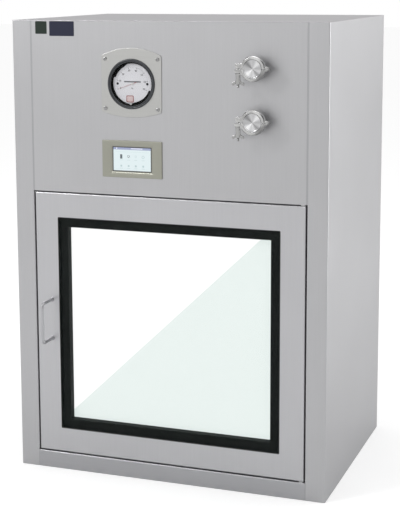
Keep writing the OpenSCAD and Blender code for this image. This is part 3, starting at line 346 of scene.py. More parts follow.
# %% [markdown]
# Each sheet is brushed along its own length: upright on the walls and doors, across on rails and roof. The
# solid steels differ a little in shade, as sheets from different coils do, and turned or cast steel has a
# short grain that runs the same all ways. After each name come the colour, how metallic and how rough it is,
# the grain, the shade of grain and cloud, and the relief.

# %% Steels
UP_GRAIN, DEPTH_GRAIN, CROSS_GRAIN = (900, 900, 7), (900, 7, 900), (7, 900, 900)
cabinet_steel = finish("cabinet_steel", (0.585, 0.585, 0.598), 1.0, 0.42, UP_GRAIN, 0.10, 0.05)
joint_steel = finish("joint_steel", (0.48, 0.48, 0.495), 1.0, 0.42, UP_GRAIN, 0.10, 0.05)
roof_steel = finish("roof_steel", (0.60, 0.59, 0.61), 1.0, 0.42, CROSS_GRAIN, 0.10, 0.05)
door_steel = finish("door_steel", (0.625, 0.625, 0.643), 1.0, 0.40, UP_GRAIN, 0.10, 0.05)
rail_steel = finish("rail_steel", (0.52, 0.522, 0.54), 1.0, 0.42, CROSS_GRAIN, 0.10, 0.05)
bar_steel = finish("bar_steel", (0.56, 0.562, 0.58), 1.0, 0.36, UP_GRAIN, 0.08, 0.05)
nut_steel = finish("nut_steel", (0.52, 0.52, 0.515), 1.0, 0.15, 200, 0.10, 0.10, 0.1)
screw_steel = finish("screw_steel", (0.50, 0.50, 0.50), 1.0, 0.30, 500, 0.10, 0.06)
bright_steel = finish("bright_steel", (0.70, 0.70, 0.70), 1.0, 0.12, 60, 0.06, 0.06, 0.05)
turned_steel = finish("turned_steel", (0.66, 0.66, 0.66), 1.0, 0.22, 500, 0.10, 0.06, 0.1)
# the ferrule necks get a darker copy of the turned steel: painted shade, as the necks sit in the shadow of
# their clamps
neck_painted_shade_steel = finish("neck_painted_shade_steel", (0.33, 0.33, 0.33), 1.0, 0.28, 500, 0.10, 0.06, 0.1)
plate_steel = finish("plate_steel", (0.60, 0.60, 0.585), 1.0, 0.38, CROSS_GRAIN, 0.14, 0.05)
inner_steel = finish("inner_steel", (0.62, 0.62, 0.63), 1.0, 0.34, UP_GRAIN, 0.08, 0.05)
floor_steel = finish("floor_steel", (0.62, 0.62, 0.63), 1.0, 0.34, DEPTH_GRAIN, 0.08, 0.05)
galvanised = finish("galvanised", (0.50, 0.53, 0.55), 0.9, 0.45, 90, 0.22, 0.10, 0.15)
filter_case = finish("filter_case", (0.60, 0.62, 0.64), 0.9, 0.4, DEPTH_GRAIN, 0.08, 0.05)
champagne = finish("champagne_metal", (0.42, 0.42, 0.36), 0.85, 0.36, CROSS_GRAIN, 0.10, 0.05)
print(len(bpy.data.materials), "materials with the metals")

# %% [markdown]
# ## Paint, rubber, plastic and paper
# These aren't metals, so their gloss is white and their colour lies under it. The same maker serves, with a
# fine even grain in place of brushing. A matt black keeps almost no gloss, or it would turn grey in a bright
# room.

# %% Paints and plastics
bezel_black = finish("bezel_enamel", (0.050, 0.054, 0.060), 0.0, 0.26, 500, 0.10, 0.10, 0.1)
case_black = finish("case_black", (0.006, 0.006, 0.006), 0.0, 0.7, 500, 0.10, 0.10, 0.1,
                    Specular_IOR_Level=0.1)
black_frame = finish("black_glazing_frame", (0.010, 0.012, 0.0115), 0.0, 0.6, 700, 0.2, 0.1, 0.2,
                     Specular_IOR_Level=0.08)
rubber = finish("seal_rubber", (0.07, 0.07, 0.072), 0.0, 0.7, 900, 0.2, 0.1, 0.3)
sealant = finish("glass_sealant", (0.014, 0.015, 0.015), 0.0, 0.42, 400, 0.2, 0.1, 0.2)
ptfe = finish("white_ptfe", (0.80, 0.80, 0.78), 0.0, 0.4, 600, 0.06, 0.04, 0.1)
white_plastic = finish("white_plastic", (0.80, 0.80, 0.80), 0.0, 0.35, 600, 0.04, 0.03, 0.1)
dial_white = finish("dial_white", (0.90, 0.90, 0.94), 0.0, 0.55, 900, 0.03, 0.02, 0.05)
ink = finish("dial_ink", (0.022, 0.022, 0.026), 0.0, 0.6, 900, 0.1, 0.1, 0.1, Specular_IOR_Level=0.2)
ink_grey = finish("dial_ink_grey", (0.19, 0.195, 0.21), 0.0, 0.6, 900, 0.1, 0.1, 0.1)
red_enamel = finish("red_enamel", (0.45, 0.035, 0.03), 0.0, 0.4, 900, 0.1, 0.05, 0.1)
badge_red = finish("badge_red", (0.38, 0.10, 0.10), 0.0, 0.5, 900, 0.06, 0.04, 0.0)
badge_pale = finish("badge_pale", (0.86, 0.70, 0.70), 0.0, 0.5, 900, 0.04, 0.04, 0.0)
paper = finish("filter_paper", (0.84, 0.84, 0.82), 0.0, 0.95, (1500, 400, 1500), 0.10, 0.04, 0.4)
motor_paint = finish("motor_paint", (0.05, 0.055, 0.065), 0.0, 0.45, 500, 0.15, 0.08, 0.4)
powder_coat = finish("powder_coat", (0.52, 0.52, 0.48), 0.0, 0.5, 700, 0.06, 0.04, 0.4)
nylon = finish("black_nylon", (0.02, 0.02, 0.02), 0.0, 0.5, 900, 0.2, 0.1, 0.2)
silicone = finish("hose_silicone", (0.72, 0.73, 0.73), 0.0, 0.35, 300, 0.04, 0.04, 0.1, Alpha=0.75)
label_blue = finish("blank_label_blue", (0.012, 0.014, 0.04), 0.0, 0.3, 600, 0.1, 0.1, 0.05)
label_green = finish("blank_label_green", (0.008, 0.02, 0.012), 0.0, 0.3, 600, 0.1, 0.1, 0.05)
print(len(bpy.data.materials), "materials so far")

# %% [markdown]
# ## Glass
# The outer pane is clear toughened glass, so the black frame behind its border shows through. The inner pane
# is the pale one that hides the chamber. It glows as painted light, though it is no lamp, and a painted
# reflection splits it into two tones, white and mint, that meet along a diagonal. The painted reflection
# depends on the pane's own place only, so it stays put from every side. Alpha is used in place of refraction,
# because thin flat glass hardly bends a view and alpha stays free of grain.

# %% Clear and pale glass
clear_glass = finish("clear_glass", (0.02, 0.03, 0.028), 0.0, 0.05, 40, 0.02, 0.02, 0.0, Alpha=0.07)
lens_glass = finish("lens_glass", (0.03, 0.032, 0.032), 0.0, 0.05, 40, 0.02, 0.02, 0.0, Alpha=0.06)
quartz = finish("lamp_quartz", (0.88, 0.90, 0.97), 0.0, 0.1, 200, 0.03, 0.02, 0.0, Alpha=0.85)
# colours of the painted reflection on the inner panes: PALE above its diagonal edge, MINT below
PALE, MINT = (1.0, 1.0, 1.0), (0.735, 0.81, 0.785)
TONE_HEIGHT, TONE_SLOPE, TONE_EDGE = 0.4015, 0.9545, 0.001


def painted_reflection_pane(name, side):
    """Pale glass that glows as painted light, with a painted reflection: PALE above the line z = TONE_HEIGHT
    +
    TONE_SLOPE * x and MINT below it, with an edge TONE_EDGE wide. On the rear x runs the other way."""
    # the emission is painted light: the pane glows though it is no lamp
    mat = finish(name, (0.20, 0.20, 0.20), 0.0, 0.12, 40, 0.01, 0.01, 0.0, Alpha=0.95, Emission_Strength=1.06)
    tree = mat.node_tree
    x, _, z = object_xyz(tree)
    line = maths(tree, "MULTIPLY_ADD", x, SIDES[side] * TONE_SLOPE, TONE_HEIGHT)
    above = maths(tree, "SUBTRACT", z, line)
    share = add(tree, "MapRange", Value=above, From_Min=-TONE_EDGE / 2, From_Max=TONE_EDGE / 2)
    tones = add(tree, "Mix")
    tones.data_type = "RGBA"
    for socket, value in {"Factor": share.outputs[0], "A": (*MINT, 1), "B": (*PALE, 1)}.items():
        feed(tree, tones.inputs[socket], value)
    feed(tree, tree.nodes["Principled BSDF"].inputs["Emission Color"], tones.outputs["Result"])
    return mat


pale_front = painted_reflection_pane("pale_glass_front", "front")
pale_rear = painted_reflection_pane("pale_glass_rear", "rear")
print("the tones meet in the middle at", TONE_HEIGHT, "m")

# %% [markdown]
# ## Dressing the sheet metal
# Most solids already have the right shape, so they keep it and only get a finish. The dictionary below is
# the list of what the box is made of.

# %% Finishes for the solids
DRESS = {
    cabinet_steel: "left_side_panel right_side_panel control_panel service_panel",
    roof_steel: "top_panel",
    rail_steel: "base_pan header_rails",
    door_steel: "front_door_skin rear_door_skin",
    inner_steel: "seal_frames chamber_walls return_grilles front_door_liner rear_door_liner",
    floor_steel: "chamber_floor diffuser_tray",
    galvanised: "blower_deck blower_housing impeller",
    filter_case: "filter_frame",
    motor_paint: "blower_motor",
    powder_coat: "control_box",
    white_plastic: "uv_holders",
    quartz: "uv_tube",
    turned_steel: "door_magnets door_pivots front_armature rear_armature port_clamp_pins",
    neck_painted_shade_steel: "port_ferrules",
    ptfe: "port_gaskets",
    case_black: "gauge_body",
    silicone: "air_tubes",
    black_frame: "front_glazing_frame rear_glazing_frame",
    clear_glass: "front_outer_glass rear_outer_glass",
    lens_glass: "gauge_lens",
    pale_front: "front_inner_glass",
    pale_rear: "rear_inner_glass",
    bright_steel: "gauge_zero_screw",
}


def dress(node, material):
    for slot in NODES[node].material_slots:
        slot.material = material


for material, names in DRESS.items():
    for node in names.split():
        dress(node, material)
print(sum(len(names.split()) for names in DRESS.values()), "nodes dressed")

# %% [markdown]
# ## Pressure gauge
# The gauge reads how much higher the pressure is inside. Its round body hangs in a plate with straight sides
# and crowned ends. The plate's outline is found angle by angle: at each angle the nearer of the side and the
# arc wins, and a power mean rounds the corner where the two meet.

# %% Gauge plate
PLATE_SIDE = 77.5
PLATE_T = 2.0
PLATE_STEPS = 288
TOP_CROWN = (-85.58, 171.58)       # height of the circle's centre above the gauge's middle, and its radius
BOTTOM_CROWN = (166.5, 246.5)
CORNER_POWER = 44
BEZEL_HOLE = 60.45


def plate_rim(inset):
    """Outline at a given inset: 1 / r^p = 1 / side^p + 1 / arc^p. At each angle, side is the way to the
    straight side, and arc the way to the crown's circle: s c + sqrt((s c)^2 + R^2 - c^2), where s is the
    angle's sine, c the height of the circle's centre and R its radius."""
    a = around(PLATE_STEPS)
    s = np.sin(a)
    side = (PLATE_SIDE - inset) / (np.abs(np.cos(a)) + 1e-9)
    c = np.where(s > 0, TOP_CROWN[0], BOTTOM_CROWN[0])
    big = np.where(s > 0, TOP_CROWN[1], BOTTOM_CROWN[1]) - inset
    arc = s * c + np.sqrt((s * c) ** 2 + big ** 2 - c ** 2)
    return polar((side ** -CORNER_POWER + arc ** -CORNER_POWER) ** (-1 / CORNER_POWER), a)


def ring_at(radius, steps=PLATE_STEPS):
    return polar(radius, around(steps))


rims = layers((plate_rim(0.5), SKIN), (plate_rim(0), 0.5), (plate_rim(0), 1.3), (plate_rim(0.25), 1.75),
              (plate_rim(0.8), PLATE_T), (plate_rim(1.4), PLATE_T), (ring_at(61), PLATE_T),
              (ring_at(BEZEL_HOLE), PLATE_T), (ring_at(BEZEL_HOLE), SKIN))
gauge_plate = piece("gauge_mounting_plate", [hoop(rims + GAUGE)], "cabinet", plate_steel)
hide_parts("gauge_plate")

# %% [markdown]
# The bezel ring is turned from aluminium and enamelled, so it is a profile carried round a circle: an upright
# flank, a round crown, a small step, and a lip that holds the lens.

# %% Bezel ring
CROWN_R, CROWN_AT = 2.6, (57.7, 3.4)
profile = [(57.3, -1.45), (60.3, -1.45), (60.3, 3.4)]
profile += [(CROWN_AT[0] + CROWN_R * math.cos(t), CROWN_AT[1] + CROWN_R * math.sin(t))
            for t in np.linspace(0, np.pi, 13)]
profile += [(54.8, 4.6), (53.2, 4.5), (52.6, 4.3), (52.5, 4.0), (52.5, 3.45), (55.0, 3.45), (55.0, SKIN),
            (57.3, SKIN)]
bezel = piece("gauge_bezel_ring", [hoop(turned(profile, GAUGE, 128))], "cabinet", bezel_black)
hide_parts("gauge_bezel")

# %% [markdown]
# The dial is a white disc with a straight tab each side for its screws, cut away at its lower right and upper
# left. Its radius is the disc's, less a cosine hump at each cut, and never less than the tab's where the tab
# is.

# %% Dial plate
DIAL = GAUGE + [0, 0, -5.0]
DIAL_R, TAB_R, TAB_SINE = 48.6, 49.4, 0.33
CUTS = ((4.2, 1.95, 308), (3.4, 2.6, 140))       # depth, how many times narrower than a cosine, and degrees
a = around(180)
cut = 0
for hollow, narrow, degrees in CUTS:
    off = a - math.radians(degrees)
    cut = cut + hollow * np.clip(1.8 * np.cos(narrow * off), 0, 1) * (np.abs(off) < 0.8)
disc = polar(np.maximum(DIAL_R - cut, np.where(np.abs(np.sin(a)) < TAB_SINE, TAB_R, 0)), a)
dial = piece("dial_plate", [block(layers((disc, -1.0), (disc, 0.0)) + DIAL)], "cabinet", dial_white)
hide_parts("gauge_dial")

# %% [markdown]
# The dial is printed: ten small divisions to each numbered mark, in pascals. Each mark is a thin slab of ink
# a tenth of a millimetre high, so it stays crisp in any light. Numbered marks are black and the fine ones
# grey, as fine print looks from arm's length.

# %% Printed marks
ZERO, SWEEP, STEPS = math.radians(200), math.radians(222.4), 7
INK_TOP = 0.12
MARK_OUT = 41.0


def mark(angle, r0, r1, width):
    """Slab from radius r0 to r1 at an angle: its four corners are turned by that angle."""
    c, s = math.cos(angle), math.sin(angle)
    w = width / 2
    flat = np.array([[r0, -w], [r1, -w], [r1, w], [r0, w]]) @ [[c, s], [-s, c]]
    return block(layers((flat, SKIN), (flat, INK_TOP)) + DIAL)


marks, fine_marks = [], []
for k in range(10 * STEPS + 1):
    angle = ZERO - SWEEP * k / (10 * STEPS)
    if k % 10 == 0:
        marks.append(mark(angle, 36.8, MARK_OUT, 0.6))
    else:
        fine_marks.append(mark(angle, 38.4 if k % 5 == 0 else 39.4, MARK_OUT, 0.3))
rule = box_outline(43, 3.2, 0.5, 4)
fine_marks.append(block(layers((rule, SKIN), (rule, INK_TOP)) + DIAL + [0.5, 5, 0]))
piece("dial_print", marks, "cabinet", ink)
piece("dial_fine_print", fine_marks, "cabinet", ink_grey)
head = [(0, 1.0), (1.9, 0.9), (2.9, 0.5), (3.1, SKIN), (0, SKIN)]
dots = [spindle(turned(head, DIAL + [x, 0, 0], 24)) for x in (-38, 38.5)]
piece("dial_screws", dots, "cabinet", ink)

# %% [markdown]
# Numerals come from Blender's own font. A text object is turned into a mesh first, and its points are then
# placed on the dial, because a finished piece's object has to stay at the origin.

# %% Numerals
NUMERAL_R, NUMERAL_SIZE = 32.5, 6.0


def numeral(text, size, x, y):
    """Points and faces of a plain sans-serif word centred at x, y on the dial."""
    curve = bpy.data.curves.new("numeral", "FONT")
    curve.body, curve.size, curve.align_x, curve.align_y = text, size, "CENTER", "CENTER"
    curve.extrude, curve.offset, curve.resolution_u = INK_TOP / 2, 0.03 * size / 4, 3
    temp = put("numeral", curve)
    mesh = bpy.data.meshes.new_from_object(temp.evaluated_get(bpy.context.evaluated_depsgraph_get()))
    co = np.zeros(len(mesh.vertices) * 3)
    mesh.vertices.foreach_get("co", co)
    co = co.reshape(-1, 3) + [x, y, INK_TOP / 2 + SKIN]
    faces = [list(p.vertices) for p in mesh.polygons]
    bpy.data.objects.remove(temp)
    return on_face(co + DIAL), faces


words = []
for k in range(STEPS + 1):
    angle = ZERO - SWEEP * k / STEPS
    words.append((str(10 * k), NUMERAL_SIZE, NUMERAL_R * math.cos(angle), NUMERAL_R * math.sin(angle)))
words.append(("Pa", 5.0, 0, -11))
points, polygons = [], []
for word in words:
    co, faces = numeral(*word)
    start = sum(map(len, points))
    points.append(co)
    polygons += [[v + start for v in f] for f in faces]
mesh = bpy.data.meshes.new("dial_numerals")
mesh.from_pydata(np.concatenate(points).tolist(), [], polygons)
mesh.materials.append(ink)
numerals = put("dial_numerals", mesh)
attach(numerals, "cabinet")
print("numerals:", len(polygons), "faces")

# %% [markdown]
# At the foot of the dial sits a small badge with a red edge. It stays blank here.

# %% Blank badge on the dial
BADGE = DIAL + [-6.2, -36.3, 0]
EDGE_TOP = 0.14
outer, inner = box_outline(19, 16.4, 2.6, 6), box_outline(15.6, 13, 1.6, 6)
badge_edge = layers((outer, SKIN), (outer, EDGE_TOP), (inner, EDGE_TOP), (inner, SKIN))
piece("dial_badge_edge", [hoop(badge_edge + BADGE)], "cabinet", badge_red)
piece("dial_badge", [block(layers((inner, SKIN), (inner, 0.08)) + BADGE)], "cabinet", badge_pale)

# %% [markdown]
# The pointer is a needle as fine as a pencil line, on a small pale hub, so it hides as little of the print as
# possible. It rides on a body of its own and rests at nought.

# %% Needle
c, s = math.cos(ZERO), math.sin(ZERO)
half = np.array([[-11.5, 0.55], [-9, 0.45], [0, 0.3], [37.8, 0.1]])
blade_edge = np.concatenate([half * [1, -1], half[::-1]]) @ [[c, s], [-s, c]]
needle = piece("gauge_needle", [block(layers((blade_edge, -4.0), (blade_edge, -3.5)) + GAUGE)], "pointer",
               red_enamel)
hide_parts("gauge_pointer")
hub = [(0, -10), (1.3, -10), (1.3, -4.1), (2.2, -4.0), (2.3, -3.8), (2.3, -3.1), (2.0, -2.8), (0, -2.7)]
piece("needle_hub", [spindle(turned(hub, GAUGE, 32))], "pointer", ptfe)

# %% [markdown]
# ## Screws
# A pan-head screw is a low dome with a cross pressed into it. The dome is a flat fourth-power curve, and the
# cross is cut by a smooth step across each of its two arms, so one height function gives the whole head.

# %% Pan-head screws
SCREW_STEPS = 48
SHANK_R, SHANK_END = 2.4, -8
ARM_HALF, ARM_REACH, CROSS_DEPTH = 0.75, 2.7, 1.3


def screw_head(centre, side, turn, radius=4.75, height=3.0):
    """z = dome minus recess: the dome falls with the fourth power of r / R, and the recess is deep where the
    point is close to either arm of the turned cross."""
    r = np.linspace(0, 1, 15)[:, None] * radius
    a = around(SCREW_STEPS)[None]
    x, y = r * np.cos(a + turn), r * np.sin(a + turn)
    dome = height * (1 - 0.55 * (r / radius) ** 4) - height * 0.05
    near = np.minimum(np.abs(x), np.abs(y))
    arm = np.clip((ARM_HALF - near) / 0.35, 0, 1) * np.clip((ARM_REACH - r) / 0.5, 0, 1)
    z = dome - CROSS_DEPTH * arm * arm * (3 - 2 * arm)
    top = np.stack([r * np.cos(a), r * np.sin(a), z], -1)
    skirt = top[-1:] * [1, 1, 0] + [0, 0, SKIN]
    shank = layers(*[(ring_at(SHANK_R, SCREW_STEPS), z0) for z0 in (SKIN, SHANK_END)])
    return spindle(np.concatenate([top, skirt, shank]) + centre, side)


PLATE_SCREW_X, PLATE_SCREW_Y = 67.5, 59.5
REAR_SCREW_X, REAR_SCREW_Y = 327.2, (730, 1120.7)
screws = []
for x in (-PLATE_SCREW_X, PLATE_SCREW_X):
    for y in (-PLATE_SCREW_Y, PLATE_SCREW_Y):
        screws.append(screw_head(GAUGE + [x, y, PLATE_T], "front", 0.3 + x * 0.01 + y * 0.02))
for x in np.linspace(-REAR_SCREW_X, REAR_SCREW_X, 5):
    for y in REAR_SCREW_Y:
        screws.append(screw_head(np.array([x, y, 0.0]), "rear", x * 0.013 + y))
heads = piece("screw_heads", screws, "cabinet", screw_steel)
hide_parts("panel_screws")

# %% [markdown]
# ## Touch screen
# The screen's housing is a stack of rounded rectangles: the body behind the panel, the bezel plate with its
# soft rim, and a bright bevel that steps down to the display. A thin dark seal lies between bezel and glass.

# %% Screen housing
rings = [(0.05, 0.05, 0.01, -28), (138, 78, 1, -28), (140, 80, 2, -27), (140, 80, 2, -SKIN),
         (153.6, 88.6, 1.2, SKIN), (154.8, 89.8, 1.6, 0.4), (155, 90, 1.8, 0.9), (155, 90, 1.8, 1.8),
         (154.6, 89.6, 1.6, 2.5), (153.8, 88.8, 1.4, 2.9), (152.8, 87.8, 1.2, 3.0), (108.5, 67.5, 1.5, 3.0),
         (107.9, 66.9, 1.4, 2.9), (105.0, 64.0, 1.0, 2.0), (99.7, 58.7, 0.5, 2.0), (99.7, 58.7, 0.5, -8),
         (0.05, 0.05, 0.01, -8)]
housing = piece("screen_housing", [block(stacked(rings, SCREEN))], "cabinet", champagne, 30)
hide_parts("hmi_housing")
seal = [(101.6, 60.6, 1, 1.02), (101.6, 60.6, 1, 2.2), (97.4, 56.4, 0.6, 2.2), (97.4, 56.4, 0.6, 1.02)]
piece("screen_seal", [hoop(stacked(seal, SCREEN))], "cabinet", rubber)

# %% [markdown]
# The display is lit, so its surface glows a little. A heading band across the top and a pale field below come
# from the height on the object, by a ramp with a sharp step.

# %% Lit display
DISPLAY_H = 58.5
HEADING_FROM = 0.885      # share of the display's height


def lit(name, base, glow):
    return finish(name, base, 0.0, 0.35, 700, 0.02, 0.01, 0.0, Emission_Color=(*base, 1),
                  Emission_Strength=glow)


display = lit("display_field", (0.12, 0.13, 0.13), 0.82)
tree = display.node_tree
low, high = ((SCREEN[1] + edge) / 1000 for edge in (-DISPLAY_H / 2, DISPLAY_H / 2))
share = add(tree, "MapRange", Value=object_xyz(tree)["Z"], From_Min=low, From_Max=high)
ramp = add(tree, "ValToRGB", Fac=share.outputs[0])
ramp.color_ramp.interpolation = "CONSTANT"
field_stop, heading_stop = ramp.color_ramp.elements
field_stop.position, field_stop.color = 0.0, (0.78, 0.89, 0.91, 1)
heading_stop.position, heading_stop.color = HEADING_FROM, (0.30, 0.34, 0.55, 1)
feed(tree, tree.nodes["Principled BSDF"].inputs["Emission Color"], ramp.outputs["Color"])
dress("hmi_screen", display)
print("display from", round(low, 4), "to", round(high, 4), "m")

# %% [markdown]
# Icons are thin raised shapes: a door, a fan, a lamp and a gear, each over a short caption bar, and small
# plain tiles below.

# %% Icon shapes
GLASS_Z = 1.0
ICON_TOP = 0.14


def on_display(x, y):
    """Place on the glass, from the display's middle."""
    return SCREEN + [x, y, GLASS_Z]


def tile(x, y, w, h, r=0.4):
    out = box_outline(w, h, r, 4)
    return block(layers((out, SKIN), (out, ICON_TOP)) + on_display(x, y))


def ring_icon(x, y, r0, r1):
    section = [(r0, SKIN), (r1, SKIN), (r1, ICON_TOP), (r0, ICON_TOP)]
    return hoop(turned(section, on_display(x, y), 32))


def toothed(x, y, reach, size, corner, angles):
    """Small tiles at the given reach and angles about a middle."""
    return [tile(x + reach * math.cos(t), y + reach * math.sin(t), size, size, corner) for t in angles]


def fan_blade(x, y, angle, length=2.6):
    """Teardrop whose width swells with (1 - cos t) along its length, turned by the angle."""
    t = around(20)
    drop = np.stack([length * (1 - np.cos(t)) / 2 + 0.5, 1.15 * np.sin(t) * (1 - np.cos(t)) / 2], -1)
    c, s = math.cos(angle), math.sin(angle)
    drop = drop @ [[c, s], [-s, c]]
    return block(layers((drop, SKIN), (drop, ICON_TOP)) + on_display(x, y))


print("icon shapes ready")

# %% Icons
COLUMNS = DOOR_ICON, FAN_ICON, LAMP_ICON, GEAR_ICON = (-28.5, -9.4, 9.3, 28.5)
EIGHTHS = np.arange(8) * math.pi / 4
icon_dark = lit("icon_dark", (0.10, 0.12, 0.13), 0.3)
icon_soft = lit("icon_soft", (0.42, 0.52, 0.53), 0.3)
heading = lit("display_heading", (0.74, 0.76, 0.86), 0.3)
dark = [tile(DOOR_ICON, 6.0, 5.6, 10.5, 0.6), ring_icon(FAN_ICON, 6.5, 2.9, 3.4)]
dark += [fan_blade(FAN_ICON, 6.5, k * 2 * math.pi / 3 + 0.4) for k in range(3)]
soft = [ring_icon(LAMP_ICON, 6.5, 1.5, 2.1)] + toothed(LAMP_ICON, 6.5, 3.4, 0.7, 0.3, EIGHTHS)
soft += [ring_icon(GEAR_ICON, 6.0, 2.4, 3.2)] + toothed(GEAR_ICON, 6.0, 3.6, 1.0, 0.2, EIGHTHS + 0.4)
for y, w, h, r in ((-2.2, 8.0, 0.8, 0.3), (-16.5, 4.6, 4.6, 1.0), (-22.4, 8.0, 0.8, 0.3)):
    soft += [tile(x, y, w, h, r) for x in COLUMNS]
soft += [tile(0, 17.5, 86, 0.35, 0.1)]
piece("display_icons_dark", dark, "cabinet", icon_dark)
piece("display_icons_soft", soft, "cabinet", icon_soft)
piece("display_heading", [tile(12, 25.9, 30, 2.0, 0.4), tile(-40, 25.9, 3, 3, 0.5)], "cabinet", heading)

# %% [markdown]
# ## Test ports
# Each port is a sanitary fitting: a ferrule welded to the panel, a gasket, a blind cap and a two-part clamp
# that a swing bolt and a wing nut draw shut. The caps carry painted highlights, wedges of light as on a
# turned face, and the clamps carry painted shade toward the lower right. So both steels take a painted tone
# from the place about the port's axis.

# %% Steel with painted light and shade about the ports


def steel_with_painted_light(name, base, rough, painted_light_of):
    """Steel whose colour is scaled by a painted tone of light and shade, taken from the place (dx, dz) about
    the nearer port's axis. The height wraps at the ports' spacing, so one rule serves both."""
    mat = finish(name, base, 1.0, rough, 60, 0.05, 0.05, 0.05)
    tree = mat.node_tree
    place = object_xyz(tree)
    half = (PORTS["upper"][1] - PORTS["lower"][1]) / 2000
    dx = maths(tree, "SUBTRACT", place["X"], PORTS["lower"][0] / 1000)
    dz = maths(tree, "WRAP", maths(tree, "SUBTRACT", place["Z"], PORTS["lower"][1] / 1000), half, -half)
    colour = tree.nodes["Principled BSDF"].inputs["Base Color"]
    feed(tree, colour, scaled(tree, colour.links[0].from_socket, painted_light_of(tree, dx, dz)))
    return mat


def painted_wedge_highlights(tree, dx, dz):
    """Painted highlights, wedges of light as a turned face shows them: with s = sin 2a = 2 dx dz / r^2 and
    sin 6a = 3 s - 4 s^3, the tone is 1.05 + 0.32 s - 0.18 sin 6a."""
    r2 = maths(tree, "ADD", maths(tree, "MULTIPLY", dx, dx), maths(tree, "MULTIPLY", dz, dz))
    twice = maths(tree, "MULTIPLY", maths(tree, "MULTIPLY", dx, dz), 2.0)
    sin2 = maths(tree, "DIVIDE", twice, r2)
    cube = maths(tree, "MULTIPLY", maths(tree, "MULTIPLY", sin2, sin2), sin2)
    sin6 = maths(tree, "SUBTRACT", maths(tree, "MULTIPLY", sin2, 3.0), maths(tree, "MULTIPLY", cube, 4.0))
    broad = maths(tree, "MULTIPLY_ADD", sin2, 0.32, 1.05)
    return maths(tree, "ADD", broad, maths(tree, "MULTIPLY", sin6, -0.18))


def painted_flank_shade(tree, dx, dz):
    """Painted shade: 1 at the middle, falling to 0.3 from 18 to 30 mm down the diagonal to the lower right,
    the side of the clamp away from the light. 83 * along - 1.5 climbs from 0 to 1 over that stretch."""
    along = maths(tree, "MULTIPLY", maths(tree, "SUBTRACT", dx, dz), 0.707)
    climb = maths(tree, "MAXIMUM", maths(tree, "MULTIPLY_ADD", along, 83.0, -1.5), 0.0)
    depth = maths(tree, "SMOOTH_MIN", climb, 1.0, 0.2)
    return maths(tree, "SUBTRACT", 1.0, maths(tree, "MULTIPLY", depth, 0.7))


# painted highlights on the caps, painted shade on the clamps' lower right
cap_steel = steel_with_painted_light("cap_steel", (0.66, 0.66, 0.67), 0.22, painted_wedge_highlights)
clamp_steel = steel_with_painted_light("clamp_steel", (0.66, 0.66, 0.655), 0.14, painted_flank_shade)
print("port steels:", cap_steel.name, clamp_steel.name)

# %% [markdown]
# The cap's face is a shallow cone from the lathe, and its fine tool marks are a small ripple in the profile,
# which is what makes polished turnings glitter in rings.

# %% Caps
GASKET_MID, GASKET_HALF = 36, 0.8        # the gasket's middle, off the panel, and half its thickness
RIM_R, BOSS_R = 25.25, 21.8
FLANK = math.radians(20)                 # slope that the clamp wedges against
CONE_OUT, CONE_IN, CONE_DEPTH = 18.8, 1.5, 3
RIPPLE, RIPPLE_PITCH = 0.022, 0.95
back = GASKET_MID + GASKET_HALF
crown_z = back + 2.85 + (RIM_R - BOSS_R) * math.tan(FLANK)
top = crown_z + 3.6
r = np.linspace(CONE_OUT, CONE_IN, 70)
ripple = RIPPLE * np.sin(r * 2 * np.pi / RIPPLE_PITCH)
cone = top - CONE_DEPTH + 2.5 * (r - CONE_IN) / (CONE_OUT - CONE_IN) + ripple
profile = [(0, back), (24.9, back), (RIM_R, back + 0.3), (RIM_R, back + 2.5), (24.95, back + 2.85),
           (21.9, crown_z), (BOSS_R, crown_z + 0.3), (BOSS_R, top - 0.9), (21.6, top - 0.35), (21.1, top),
           (19.8, top), (19.2, top - 0.2)]
profile = np.concatenate([profile, np.stack([r, cone], -1), [(0, top - CONE_DEPTH)]])
caps = piece("port_cap_pair", [spindle(turned(profile, PORTS[k])) for k in PORTS], "cabinet", cap_steel, 30)
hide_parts("port_caps")

# %% [markdown]
# The clamp halves are castings with softened edges. Their solids are already right, so a merged copy with a
# bevel on its sharp edges does the work of a polishing wheel.

# %% Softened copy
MERGE = 1e-5                                        # metres
FLAT, SHARP = math.radians(1), math.radians(35)     # corners below FLAT melt away, above SHARP get a bevel


def softened(node, name, material, width, body="cabinet"):
    """Merged copy of a solid whose sharp edges get a round bevel."""
    mesh = NODES[node].data.copy()
    bm = bmesh.new()
    bm.from_mesh(mesh)
    bmesh.ops.remove_doubles(bm, verts=bm.verts, dist=MERGE)
    bmesh.ops.dissolve_limit(bm, angle_limit=FLAT, verts=bm.verts, edges=bm.edges)
    bm.to_mesh(mesh)
    bm.free()
    mesh.materials.clear()
    mesh.materials.append(material)
    obj = put(name, mesh)
    bevel = obj.modifiers.new("edge", "BEVEL")
    bevel.width, bevel.segments, bevel.limit_method = width, 2, "ANGLE"
    bevel.angle_limit = SHARP
    bevel.harden_normals = True
    mesh.shade_smooth()
    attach(obj, body)
    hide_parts(node)
    print(f"{name}: softened by {width * 1000:.1f} mm")


softened("port_clamps", "clamp_halves", clamp_steel, 0.0006)

# %% [markdown]
# ## Swing bolts and wing nuts
# A screw thread is a tube whose radius follows a triangle wave that advances by one pitch per turn. Bolt and
# nut ride on bodies of their own, because both of them move.

# %% Threaded swing bolts
EYE = np.array([-36, 7, 36.0])
TIP, TAPER, RUN_OUT = 0.6, 0.8, 0.8      # chamfer's length, what it takes off the radius, thread's fade


def about_bolt(r, down, a):
    """Points at radius r and angle a about the bolt's axis, so far down from the eye."""
    return np.stack([r * np.cos(a), -down + 0 * a, r * np.sin(a)], -1)


